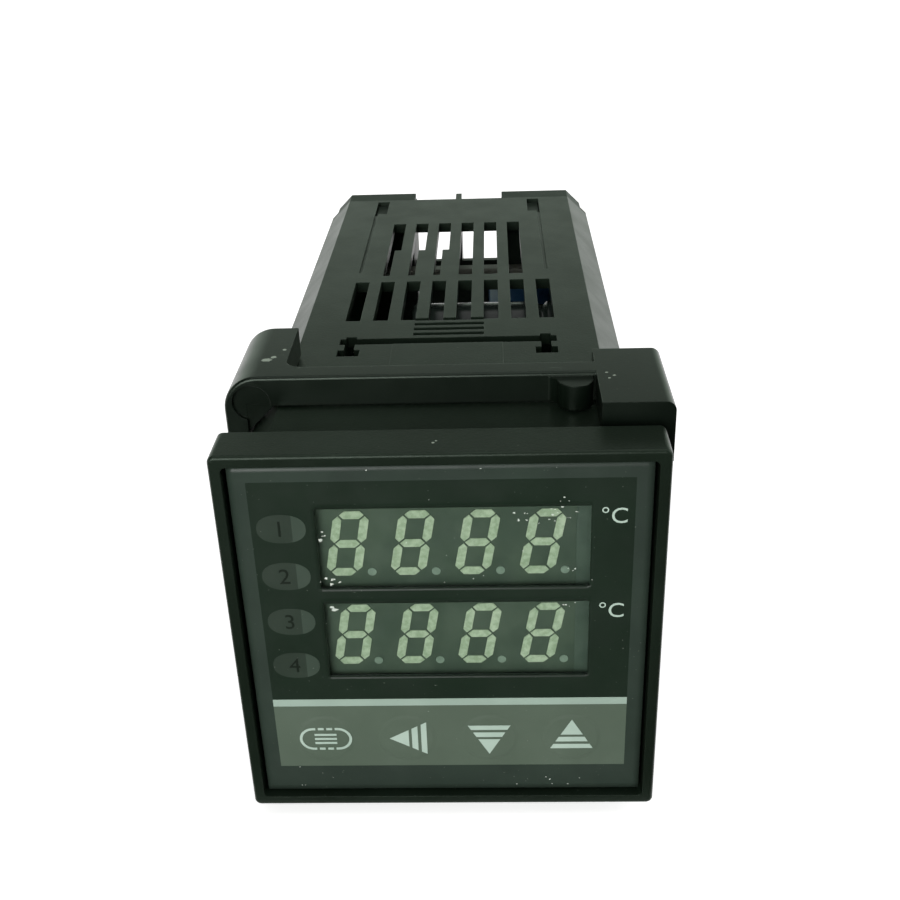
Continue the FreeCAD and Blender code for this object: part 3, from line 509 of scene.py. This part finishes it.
def finished(node, material, sharp=30.0, edge_mm=0.0):
    """A merged copy that replaces its CAD node. Edges stay sharp from so many degrees on, or are
    rounded by edge_mm, and the shading of smooth corners follows their largest face."""
    made = standing_for(node, node + "_finished", merged(node, material))
    shade(made, sharp)
    if edge_mm:
        bevel = made.modifiers.new("edges", "BEVEL")
        bevel.width = edge_mm * MM
        bevel.segments = 2
        bevel.limit_method = "ANGLE"
        bevel.angle_limit = math.radians(28.0)
        bevel.miter_outer = "MITER_ARC"
    level = made.modifiers.new("flat_faces", "WEIGHTED_NORMAL")
    level.weight = 100
    level.keep_sharp = True


def read(rows, name, width=1, kind=float):
    """One attribute of a mesh's vertices, edges, corners or faces as an array."""
    values = np.zeros(len(rows) * width, kind)
    rows.foreach_get(name, values)
    return values.reshape(-1, width) if width > 1 else values


# --- CAD nodes and their finishes
finished("housing", case_abs, sharp=12.0)  # its ratchet teeth have slight slopes
finished("mounting_bracket", bracket_pc)
finished("front_panel", bezel_abs)
for kind, material in (("strip", strip_pbt), ("plates", contact_nickel), ("screws", screw_zinc)):
    for side in ("right", "left"):
        finished("terminal_%s_%s" % (kind, side), material)
for node, edge_mm, material in (
        ("upper_display", 0.15, display_grey), ("lower_display", 0.15, display_grey),
        ("output_relay", 0.5, relay_blue), ("alarm_relays", 0.4, chip_epoxy),
        ("transformer_core", 0.3, core_ferrite), ("transformer_winding", 0.4, tape_amber),
        ("varistor", 0.5, relay_blue), ("microcontroller", 0.12, chip_epoxy),
        ("amplifiers", 0.12, chip_epoxy), ("board_headers", 0.1, chip_epoxy),
        ("board_spacer", 0.3, spacer_nylon), ("tact_switches", 0.1, chip_epoxy)):
    finished(node, material, edge_mm=edge_mm)
for node, material in (
        ("latch_arms", bezel_abs), ("light_guides", guide_acrylic), ("indicator_leds", led_milky),
        ("display_board", board_green), ("power_board", board_green),
        ("control_board", board_green),
        *((key + part, key_acetal) for key in ("set", "shift", "down", "up")
          for part in ("_key", "_stem"))):
    dressed(frame["nodes"][node].data, material)  # these keep their CAD shape


# --- displays and windows
slant = 0.18  # how far a digit leans over for each step up
along_bar, across_bar = 0.96, 0.92
point_limit = 1.5 * MM  # a display's points are smaller than this, and its bars longer


def light_bars(node):
    """The bars and points of one display, which are the loose parts of its mesh: each vertex takes
    the lowest number among its neighbours until none changes. A part that is small both ways is a
    point. A bar is drawn in towards its middle along the digits' slant, so that the mask shows
    between the bars: x and z from the middle are scaled, x after the slant times z is taken off,
    and the slant's share is then put back."""
    mesh = merged(node, segment_milky, point_milky)
    places = read(mesh.vertices, "co", 3)
    first, second = read(mesh.edges, "vertices", 2, int).T
    part, before = np.arange(len(places)), None
    while not np.array_equal(part, before):
        before = part.copy()
        np.minimum.at(part, first, before[second])
        np.minimum.at(part, second, before[first])
    is_point = np.zeros(len(places), bool)
    for number in np.unique(part):
        inside = part == number
        wide, _, tall = np.ptp(places[inside], axis=0)
        if max(wide, tall) < point_limit:
            is_point |= inside
            continue
        middle = (places[inside].max(0) + places[inside].min(0)) / 2
        x, _, z = (places[inside] - middle).T
        shrink_x, shrink_z = (across_bar, along_bar) if tall > wide else (along_bar, across_bar)
        places[inside, 0] = middle[0] + (x - slant * z) * shrink_x + slant * z * shrink_z
        places[inside, 2] = middle[2] + z * shrink_z
    mesh.vertices.foreach_set("co", places.ravel())
    corner = read(mesh.loops, "vertex_index", kind=int)[read(mesh.polygons, "loop_start", kind=int)]
    mesh.polygons.foreach_set("material_index", is_point[corner].astype(np.int32))
    mesh.update()
    shade(standing_for(node, node + "_cast", mesh))


light_bars("upper_segments")
light_bars("lower_segments")


# The windows' clear pane, with its thin edges bonded to grey card.
pane = merged("display_lenses", window_clear, card_grey)
is_edge = abs(read(pane.polygons, "normal", 3)[:, 1]) < 0.5
pane.polygons.foreach_set("material_index", is_edge.astype(np.int32))
standing_for("display_lenses", "window_pane", pane)

lens_low, lens_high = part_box("display_lenses")
mask_tuck = 0.15 * MM  # how far a mask strip runs over its display's edge
mask_lift = 0.10 * MM  # how far it stands before the display's face
mask_depth = 0.3 * MM  # how far it reaches back beside the display
mask_edge = 0.05 * MM

for module in ("upper_display", "lower_display"):  # grey card that closes the window's end
    low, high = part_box(module)
    strip = rounded_block((high.x - mask_tuck, low.y - mask_lift, low.z),
                          (lens_high.x, low.y + mask_depth, high.z), mask_edge)
    piece(module + "_mask_strip", strip, [card_grey])


# --- corners of the bracket
case_half = 22.4 * MM  # from the case's axis to each of its faces
case_chamfer = 3.4 * MM
bracket_wall = 22.65 * MM  # inner face of each bracket wall
web_bite = 0.3 * MM  # how far a web runs into the walls
web_gap = 0.35 * MM  # from the case's chamfer to a web, as a sum of x and z
ear_web = (10.12 * MM, 14.2 * MM)  # start and depth along Y at the ears
block_web = (1.7 * MM, 14.3 * MM)  # and at the blocks


def corner_webs():
    """Webs that fill the bracket's four corners and follow the case's chamfers. Each is the corner
    between two walls, cut off along the line on which x and z add up to the chamfer's own sum plus
    a gap, and given a depth along Y. Each end of the bracket has an ear's and a block's web, and
    a half turn about Y carries the two to the other end."""
    cut = 2 * case_half - case_chamfer + web_gap - bracket_wall
    deep = bracket_wall + web_bite
    outline = np.array([(deep, deep), (cut, deep), (cut, bracket_wall), (bracket_wall, cut),
                        (deep, cut)])
    webs = [plate_from(outline * (side * turn, turn), *web) for turn in (-1, 1)
            for side, web in ((-1, ear_web), (1, block_web))]
    piece("bracket_corner_webs", together(webs)[0], [bracket_pc], "bracket")


corner_webs()


# --- film with its prints
film_low, film_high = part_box("front_film")
film_front = film_low.y
middles = {node: (sum(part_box(node), Vector()) / 2) for node in (
    "upper_display", "lower_display", "set_key", "shift_key", "down_key", "up_key")}
window_middles = (middles["upper_display"].z, middles["lower_display"].z)
window_x = (lens_low.x + lens_high.x) / 2
window_half_w, window_half_h = 14.7 * MM, 5.1 * MM
field_left, field_right = -20.45 * MM, 20.5 * MM  # printed field inside the border
field_top, field_bottom = 20.4 * MM, -8.55 * MM  # the white line follows below it
band_top, band_bottom = -9.55 * MM, -18.65 * MM  # key band
proud = 0.012 * MM  # prints above the film
ink_depth, symbol_depth = 0.02 * MM, 0.06 * MM
finest_step = 0.02 * MM  # nearer grid lines become one


def over_window(x, z):
    """Whether a place on the film lies over one of its two windows."""
    rise = np.min([abs(z - middle) for middle in window_middles], axis=0)
    return (abs(x - window_x) < window_half_w) & (rise < window_half_h)


def film_sheet():
    """The film's front as a grid whose lines follow the prints' edges, bare over the two windows;
    each face takes the ink of the field that its middle lies in."""
    xs = [field_left, field_right, window_x - window_half_w, window_x + window_half_w,
          *np.linspace(film_low.x, film_high.x, 60)]
    zs = [field_top, field_bottom, band_top, band_bottom,
          *(z + side * window_half_h for z in window_middles for side in (-1, 1)),
          *np.linspace(film_low.z, film_high.z, 60)]
    xs, zs = [line[np.append(True, np.diff(line) > finest_step)]
              for line in (np.unique(xs), np.unique(zs))]
    points = np.insert(pairs(xs, zs), 1, film_front, axis=1)
    faces = grid_faces(len(xs), len(zs))
    x, _, z = points[faces].mean(1).T
    on_film = ~over_window(x, z)
    inside = (x > field_left) & (x < field_right)
    ink = np.where(inside & (z < field_top) & (z > field_bottom), 0, 1)
    ink = np.where(inside & (z < field_bottom) & (z > band_top), 2, ink)
    ink = np.where(inside & (z < band_top) & (z > band_bottom), 3, ink)
    return (points, faces[on_film]), ink[on_film]


sheet, inks = film_sheet()
film = piece("printed_front_film", sheet, [ink_dark, ink_border, ink_line, ink_key_band],
             chosen=inks)
thickness = film.modifiers.new("thickness", "SOLIDIFY")
thickness.thickness = film_high.y - film_low.y
thickness.offset = -1.0
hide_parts("front_film")


def lettering(text, middle, height, front):
    """Plain raised characters facing -Y: the font's flat outline, scaled to a height, with its
    middle at a point (x, z) and its face at a depth."""
    curve = bpy.data.curves.new("character", "FONT")
    curve.body = text
    curve.extrude = 0.01
    curve.resolution_u = 4
    holder = linked("character", curve)
    mesh = bpy.data.meshes.new_from_object(
        holder.evaluated_get(bpy.context.evaluated_depsgraph_get()))
    flat = read(mesh.vertices, "co", 3)
    faces = [list(face.vertices) for face in mesh.polygons]
    bpy.data.objects.remove(holder)
    bpy.data.curves.remove(curve)
    bpy.data.meshes.remove(mesh)
    flat -= (flat.max(0) + flat.min(0)) / 2
    flat *= height / np.ptp(flat[:, 1])
    y = front + symbol_depth / 2 * (1.0 - flat[:, 2] / flat[:, 2].max())
    return np.column_stack([middle[0] + flat[:, 0], y, middle[1] + flat[:, 1]]), faces


# --- indicator ovals with numerals, and unit signs
oval_x = -17.2 * MM
oval_top = middles["upper_display"].z + 2.7 * MM
oval_pitch = 6.073 * MM
oval_half_w, oval_half_h = 2.67 * MM, 1.78 * MM
oval_power = 2.3  # a little squarer than an ellipse
guide_start = oval_x + 0.9 * MM  # where the light guide begins behind the oval
numeral_x = oval_x - 0.2 * MM
numeral_height = 1.9 * MM


def indicator(number, z):
    """A see-through oval, brighter where its light guide lies behind it, with a plain numeral."""
    whole = ellipse((oval_x, z), oval_half_w, oval_half_h, oval_power)
    lit = whole[whole[:, 0] > guide_start]
    lit = lit[np.argsort(np.arctan2(lit[:, 1] - z, lit[:, 0] - oval_x))]
    shape, origin = together([
        plate_from(whole, film_front - proud, ink_depth),
        plate_from(lit, film_front - 1.5 * proud, ink_depth),
        lettering(str(number), (numeral_x, z), numeral_height, film_front - 2.5 * proud)])
    piece("indicator_%d_print" % number, shape, [ink_oval, ink_oval_lit, ink_numeral],
          chosen=origin)


for row in range(4):
    indicator(row + 1, oval_top - row * oval_pitch)

# The unit's sign beside each window.
unit_x, unit_rise, unit_height = 18.35 * MM, 3.9 * MM, 2.0 * MM

for name, z in zip(("upper", "lower"), window_middles):
    piece(name + "_unit_print",
          lettering("°C", (unit_x, z + unit_rise), unit_height, film_front - proud),
          [ink_symbol])


# --- embossed key pads with symbols
pad_height, pad_flat, pad_edge = 0.10 * MM, 2.9 * MM, 3.5 * MM
pad_root = 0.05 * MM  # how far a pad reaches into the film


def pad_disc(middle):
    """An embossed disc: its height falls from full to nothing by a squared cosine across its
    edge."""
    t = np.linspace(0, 1, 7)
    rim = np.column_stack([pad_flat + (pad_edge - pad_flat) * t,
                           pad_height * np.cos(t * np.pi / 2) ** 2])
    profile = np.concatenate([[(0.0, pad_height)], rim, [(pad_edge, -pad_root), (0.0, -pad_root)]])
    return turned(profile, (middle.x, film_front, middle.z), (0, -1, 0), 56)


def arrow(middle, heading, length, half_width):
    """A triangle cut by two gaps across its length: slices from one share of its length to
    another, each as wide as the triangle is there."""
    along = np.array(heading, float)
    across = np.array([-along[1], along[0]])
    apex = np.array(middle) + along * length / 2
    slices = []
    for near, far in ((0.0, 0.52), (0.60, 0.76), (0.85, 1.0)):
        corners = [apex - along * length * share + across * half_width * share * side
                   for share, side in ((near, 1), (near, -1), (far, -1), (far, 1))]
        slices.append(corners if near else corners[1:])
    return slices


def bar(x, z, half_width, half_height):
    """A rectangle's corners."""
    return [(x + a * half_width, z + b * half_height)
            for a, b in ((-1, -1), (1, -1), (1, 1), (-1, 1))]


def capsule(middle, half_width, radius, stroke):
    """A dashed capsule: a half ring at each end, drawn out level to where the dashes begin, two
    dashes above and below, and three bars inside."""
    ring_end, dash_middle, dash_half = 1.15 * MM, 0.50 * MM, 0.34 * MM
    bar_pitch, bar_half_w, bar_half_h = 0.62 * MM, 1.3 * MM, 0.15 * MM
    x, z = middle
    angle = np.linspace(-np.pi / 2, np.pi / 2, 20)
    outlines = []
    for side in (-1, 1):
        centre, reach = x + side * (half_width - radius), x + side * ring_end
        outer, inner = [np.column_stack([centre + side * r * np.cos(angle), z + r * np.sin(angle)])
                        for r in (radius, radius - stroke)]
        outlines.append(np.concatenate([
            [(reach, z - radius)], outer, [(reach, z + radius), (reach, z + radius - stroke)],
            inner[::-1], [(reach, z - radius + stroke)]]))
        for sign in (-1, 1):
            outlines.append(bar(x + side * dash_middle, z + sign * (radius - stroke / 2),
                                dash_half, stroke / 2))
    for rise in (-bar_pitch, 0.0, bar_pitch):
        outlines.append(bar(x, z + rise, bar_half_w, bar_half_h))
    return outlines


def key_pad(key, outlines):
    """One key's embossed disc with its printed symbol."""
    middle = middles[key + "_key"]
    front = film_front - pad_height - proud
    shape, origin = together([pad_disc(middle)] + [plate_from(line, front, symbol_depth)
                                                   for line in outlines])
    made = piece(key + "_key_pad", shape, [ink_key_band, ink_symbol],
                 chosen=np.minimum(origin, 1))
    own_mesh(made)


key_z = middles["set_key"].z
key_pad("set", capsule((middles["set_key"].x, key_z), 3.1 * MM, 1.65 * MM, 0.32 * MM))
key_pad("shift", arrow((middles["shift_key"].x + 0.1 * MM, key_z), (-1, 0), 4.4 * MM, 2.4 * MM))
key_pad("down", arrow((middles["down_key"].x, key_z - 0.3 * MM), (0, -1), 4.3 * MM, 2.5 * MM))
key_pad("up", arrow((middles["up_key"].x, key_z + 0.5 * MM), (0, 1), 4.3 * MM, 2.5 * MM))


# --- flecks that cling to the film
fleck_limit = 21.7  # mm from the axis, just inside the film's edge


def flecks(name, spots, seed):
    """Small flat scraps scattered about a few spots: each spot is (x, z, spread, how many, largest
    size) in mm. A scrap is an uneven six-sided plate, on the film, or on the window where it lies
    over one."""
    random = np.random.default_rng(seed)
    scraps = []
    for x, z, spread, count, largest in spots:
        places = np.array([x, z]) + random.normal(0, spread, (count, 2))
        places = np.clip(places, -fleck_limit, fleck_limit) * MM
        for place, size in zip(places, random.uniform(0.35, 1.0, count) * largest * MM):
            front = (lens_low.y if over_window(*place) else film_front) - 1.2 * proud
            angle = np.sort(random.uniform(0, 2 * np.pi, 6))
            reach = size / 2 * random.uniform(0.5, 1.0, 6)
            outline = place + np.column_stack([reach * np.cos(angle), reach * 0.7 * np.sin(angle)])
            scraps.append(plate_from(outline, front, ink_depth))
    piece(name, together(scraps)[0], [fleck_white])


flecks("window_flecks", [
    (-12.9, 13.4, 0.5, 6, 0.55), (-12.6, 8.0, 0.5, 9, 0.6), (8.9, 15.8, 0.7, 7, 0.5),
    (12.6, 16.3, 0.9, 14, 0.48), (14.2, 9.0, 0.5, 3, 0.5), (-12.3, 4.3, 0.25, 2, 1.2),
    (14.0, 4.4, 0.4, 4, 0.45), (1.0, 12.0, 5.0, 8, 0.3)], 7)
flecks("border_flecks", [
    (9.0, -20.4, 4.0, 7, 0.3), (-17.5, -20.6, 1.5, 6, 0.32), (0.0, 21.4, 9.0, 5, 0.3),
    (-5.0, -6.5, 7.0, 5, 0.22)], 11)


# --- capacitors
def can(low, high):
    """One sleeved can along X. Its profile: a bare end with a scored dish, the sleeve's rolled
    lip, a groove near the foot, and the foot's rolled edge."""
    radius, length, steps = (high.y - low.y) / 2, high.x - low.x, 48
    roll, dish = 0.12 * radius, 0.05 * MM
    t = np.linspace(0, np.pi / 2, 6)
    lip = np.column_stack([radius - roll + roll * np.sin(t), roll - roll * np.cos(t)])
    g = np.linspace(0, np.pi, 9)
    groove = np.column_stack([radius - 0.10 * radius * np.sin(g),
                              length * (0.82 + 0.07 * g / np.pi)])
    foot = np.column_stack([radius - roll + roll * np.cos(t), length - roll + roll * np.sin(t)])
    profile = np.concatenate([[(0.0, dish), (radius * 0.80, dish), (radius * 0.84, 0.0)], lip,
                              groove, foot, [(0.0, length)]])
    shape = turned(profile, (low.x, (low.y + high.y) / 2, (low.z + high.z) / 2), (1, 0, 0), steps)
    is_end = np.arange(len(profile) - 1) < 2
    return shape, np.repeat(is_end.astype(int), steps)


def capacitors(name, node, count):
    """Equal cans side by side along Y, which replace their node."""
    low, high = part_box(node)
    diameter = high.z - low.z
    shapes, chosen = zip(*[can(Vector((low.x, y, low.z)), Vector((high.x, y + diameter, high.z)))
                           for y in np.linspace(low.y, high.y - diameter, count)])
    made = piece(name, together(shapes)[0], [sleeve_pvc, can_aluminium],
                 chosen=np.concatenate(chosen))
    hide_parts(node)


capacitors("main_capacitor_can", "main_capacitor", 1)
capacitors("small_capacitor_cans", "small_capacitors", 3)


# --- parts on the boards
control_back, control_face = [corner.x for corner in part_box("control_board")]
power_face, power_back = [corner.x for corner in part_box("power_board")]


def chip_parts(name, stretches, size_mm, material):
    """Small chips on the control board's face: a body, and a soldered cap at each end of its
    length along Z. Each stretch of board is a range of y, one of z, and the steps, in mm."""
    places = np.concatenate([pairs(np.arange(*y, y_step), np.arange(*z, z_step))
                             for y, z, y_step, z_step in stretches]) * MM
    half = np.array(size_mm) * MM / 2
    body, cap = [rounded_block(-half * (1, 1, share), half * (1, 1, share), 0.16 * half[0], 1)
                 for share in (0.72, 0.15)]
    spots = np.insert(places, 0, control_face + half[0], axis=1)
    shift = np.array([0.0, 0.0, half[2] * 0.85])
    shape, origin = together([repeated(body, spots), repeated(cap, spots + shift),
                              repeated(cap, spots - shift)])
    piece(name, shape, [material, solder_tin], chosen=np.minimum(origin, 1))


chip_parts("control_resistors", [
    ((9.5, 15), (-16.5, 17), 2.6, 3.1), ((35, 47), (4, 18), 3.0, 3.4),
    ((53, 79), (0, 8.5), 5.2, 3.6)], (0.5, 0.85, 1.7), chip_epoxy)
chip_parts("control_ceramics", [
    ((22, 31), (-2.2, 0), 3.0, 3.0), ((42, 48), (-14, -4), 2.8, 3.2)], (0.9, 1.2, 2.0),
    spacer_nylon)

solder_radius, solder_height = 0.8 * MM, 0.55 * MM


def solder_dome():
    """A solder fillet's profile: its radius falls as its height rises by 1 minus a squared sine,
    to a blunt tip."""
    t = np.linspace(0, np.pi / 2, 6)
    side = np.column_stack([solder_radius * (1 - 0.75 * np.sin(t) ** 2),
                            solder_height * np.sin(t)])
    return np.concatenate([[(0.0, -0.02 * MM)], side, [(0.0, solder_height)]])


def joints_under(node, rows, columns, inset):
    """Places (y, z) of a part's pins: a grid over its footprint, inset by a share of it."""
    low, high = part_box(node)
    shares = [np.linspace(inset, 1 - inset, n) if n > 1 else np.array([0.5])
              for n in (columns, rows)]
    return pairs(low.y + shares[0] * (high.y - low.y), low.z + shares[1] * (high.z - low.z))


def solder_side(name, pins, back, out):
    """Solder fillets on the outer face of a board, at the pins of its parts."""
    places = np.concatenate([joints_under(*part) for part in pins])
    dome = turned(solder_dome(), (0, 0, 0), (out, 0, 0), 14)
    spots = np.insert(places, 0, back, axis=1)
    piece(name, repeated(dome, spots), [solder_tin], smooth=50.0)


solder_side("power_board_solder", [
    ("transformer_core", 4, 2, 0.1), ("main_capacitor", 2, 1, 0.25),
    ("small_capacitors", 2, 3, 0.2), ("output_relay", 2, 2, 0.15), ("varistor", 2, 1, 0.2),
    ("board_headers", 8, 1, 0.06)], power_back, 1)
solder_side("control_board_solder", [
    ("alarm_relays", 2, 4, 0.1), ("board_headers", 8, 1, 0.06)], control_back, -1)


def board_pads(name, face, out):
    """Flat gold-flashed pads at the rear edge of a board, one for each terminal."""
    plates_low, plates_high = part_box("terminal_plates_right")
    rows = np.linspace(plates_low.z, plates_high.z, 13)[1::2]
    board_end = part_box("control_board")[1].y
    half, lift, from_end = np.array((0.015, 1.7, 1.4)) * MM, 0.005 * MM, 2.0 * MM
    pad = rounded_block(-half, half, 0.01 * MM, 1)
    spots = [(face + out * lift, board_end - from_end, row) for row in rows]
    piece(name, repeated(pad, spots), [pad_gold])


board_pads("control_board_pads", control_face, 1)
board_pads("power_board_pads", power_face, -1)


def axial_resistors():
    """Four dipped resistors that lie along Z: a waisted body turned from a profile, with bands in
    one row of faces each, and tinned leads that bend down to the board."""
    body_length, body_radius, wire_radius = 6.2 * MM, 1.15 * MM, 0.28 * MM
    wire_reach, leg_place, stand_off = 4.6 * MM, 4.35 * MM, 1.6 * MM
    t = np.linspace(0, np.pi, 25)
    radius = body_radius * (0.80 + 0.20 * np.cos(2 * t)) * np.sqrt(np.clip(np.sin(t), 0, 1))
    body = turned(np.column_stack([radius, (t / np.pi - 0.5) * body_length]), (0, 0, 0),
                  (0, 0, 1), 24)
    bands = np.isin(np.repeat(np.arange(24), 24), (5, 9, 12, 18))
    wire = turned([(0, -wire_reach), (wire_radius, -wire_reach), (wire_radius, wire_reach),
                   (0, wire_reach)], (0, 0, 0), (0, 0, 1), 10)
    leg = turned([(0, 0), (wire_radius, 0), (wire_radius, stand_off), (0, stand_off)],
                 (0, 0, 0), (1, 0, 0), 10)
    places = np.array([(power_face - stand_off, y * MM, -13.5 * MM)
                       for y in (13.5, 18.5, 23.5, 28.5)])
    foot = np.array([0.0, 0.0, leg_place])
    shape, origin = together([repeated(body, places), repeated(wire, places),
                              repeated(leg, places + foot), repeated(leg, places - foot)])
    chosen = np.where(origin > 0, 2, 0)
    chosen[:len(bands) * len(places)] = np.tile(bands, len(places))
    piece("axial_resistors", shape, [dipped_epoxy, tape_amber, solder_tin],
          smooth=50.0, chosen=chosen)


axial_resistors()


# --- camera, floor and light
def turned_to(made, place, aim, roll_degrees=0.0):
    """Puts a camera or a lamp at a place and points it at another, rolled about its own line."""
    made.location = place
    made.rotation_mode = "QUATERNION"
    made.rotation_quaternion = (aim - place).to_track_quat("-Z", "Y") @ Quaternion(
        (0.0, 0.0, 1.0), math.radians(roll_degrees))


camera = bpy.data.cameras.new("camera")
camera.lens = 47.92
camera.sensor_width = 36.0
camera.clip_start, camera.clip_end = 0.005, 10.0
bpy.context.scene.camera = linked("camera", camera)
turned_to(bpy.context.scene.camera, Vector((5.95, -113.38, 81.54)) * MM,
          Vector((0.17, 19.07, 11.35)) * MM, roll_degrees=-2.087)


def seen_directly(tree):
    """1 for rays from the camera, from a mirror or through glass, and 0 for light on its way to
    things."""
    rays = add(tree, "LightPath").node.outputs
    mirrored = add(tree, "Math", [rays["Is Glossy Ray"], rays["Is Transmission Ray"]],
                   operation="MAXIMUM")
    return add(tree, "Math", [rays["Is Camera Ray"], mirrored], operation="MAXIMUM")


def floor_paper():
    """White paper sweep: matt white, brighter to the eye than its light, so it reads as white, and
    more so far out, where the lamps fade. Near the object it still keeps a soft shadow."""
    made, tree, place = bare("white_paper_sweep")
    fibres = patches(tree, place, 1.2)
    paper = add(tree, "BsdfDiffuse", {"Color": coats(tree, "f4f4f2", [(fibres, "fbfbfa")])})
    away = add(tree, "VectorMath", [place], "Value", operation="LENGTH")
    glow = add(tree, "Emission", {
        "Color": srgb("ffffff"),
        "Strength": add(tree, "MapRange", [away, 0.25, 0.9, 0.66, 1.0], **SMOOTH)})
    lit = add(tree, "AddShader", [paper, glow])
    both = add(tree, "MixShader", [seen_directly(tree), paper, lit])
    add(tree, "OutputMaterial", {"Surface": both})
    return made


def flag_cloth():
    """Black felt on a studio flag: it swallows light."""
    made, tree, place = bare("black_felt")
    return surfaced(made, Base_Color=coats(tree, "070807", [(patches(tree, place, 2.0), "0b0c0b")]),
                    Roughness=1.0, Specular_IOR_Level=0.0)


def level_sheet(name, x, y, z, material):
    """A level rectangle between two places along X and two along Y."""
    places = np.insert(pairs(np.linspace(*x, 9), np.linspace(*y, 9)), 2, z, axis=1)
    mesh = bpy.data.meshes.new(name)
    mesh.from_pydata(places.tolist(), [], grid_faces(9, 9).tolist())
    dressed(mesh, material)
    made = linked(name, mesh)
    return made


floor_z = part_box("mounting_bracket")[0].z
level_sheet("floor", (-3.0, 3.0), (-3.0, 3.0), floor_z, floor_paper())
# A black flag lies before the front, so that the film and its windows mirror black, not paper.
flag = level_sheet("front_flag", (-0.5, 0.5), (-0.75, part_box("housing")[0].y - 1.0 * MM),
                   floor_z + 1.0 * MM, flag_cloth())
for kind in ("camera", "diffuse", "transmission", "shadow"):
    setattr(flag, "visible_" + kind, False)


def soft_box(name, place, aim, size, watts):
    """A square lamp at a place, turned to a point."""
    data = bpy.data.lights.new(name, "AREA")
    data.shape = "SQUARE"
    data.size = size
    data.energy = watts
    turned_to(linked(name, data), Vector(place), Vector(aim))


soft_box("overhead_soft_box", (0.05, 0.10, 0.75), (0, 0.04, 0), 0.8, 1.4)
soft_box("front_soft_box", (-0.25, -0.75, 0.22), (0, 0, 0), 0.5, 4.2)
soft_box("right_soft_box", (0.65, 0.05, 0.35), (0, 0.03, 0), 0.5, 1.6)


def studio_room():
    """A white backdrop all round for the eye. What shines sees it only low behind the object, with
    a dim room above it and before it; what is matt gets an even, dimmer light."""
    world = bpy.data.worlds.new("studio")
    bpy.context.scene.world = world
    world.use_nodes = True
    tree = world.node_tree
    tree.nodes.clear()
    way = add(tree, "SeparateXYZ", [add(tree, "TexCoord", out="Generated")]).node.outputs
    low = add(tree, "MapRange", [way["Z"], 0.26, 0.44, 1.0, 0.06], **SMOOTH)
    behind = add(tree, "MapRange", [way["Y"], -0.25, 0.25, 0.05, 1.0], **SMOOTH)
    lit = add(tree, "Math", [low, behind], operation="MULTIPLY")
    to_eye = add(tree, "LightPath", out="Is Camera Ray")
    white = add(tree, "Background", {
        "Color": coats(tree, "dcecdd", [(to_eye, "ffffff")]),
        "Strength": add(tree, "Math", [to_eye, lit], operation="MAXIMUM")})
    even = add(tree, "Background", {"Color": srgb("ffffff"), "Strength": 0.30})
    both = add(tree, "MixShader", [seen_directly(tree), even, white])
    add(tree, "OutputWorld", {"Surface": both})


studio_room()
bpy.context.scene.view_settings.view_transform = "Standard"
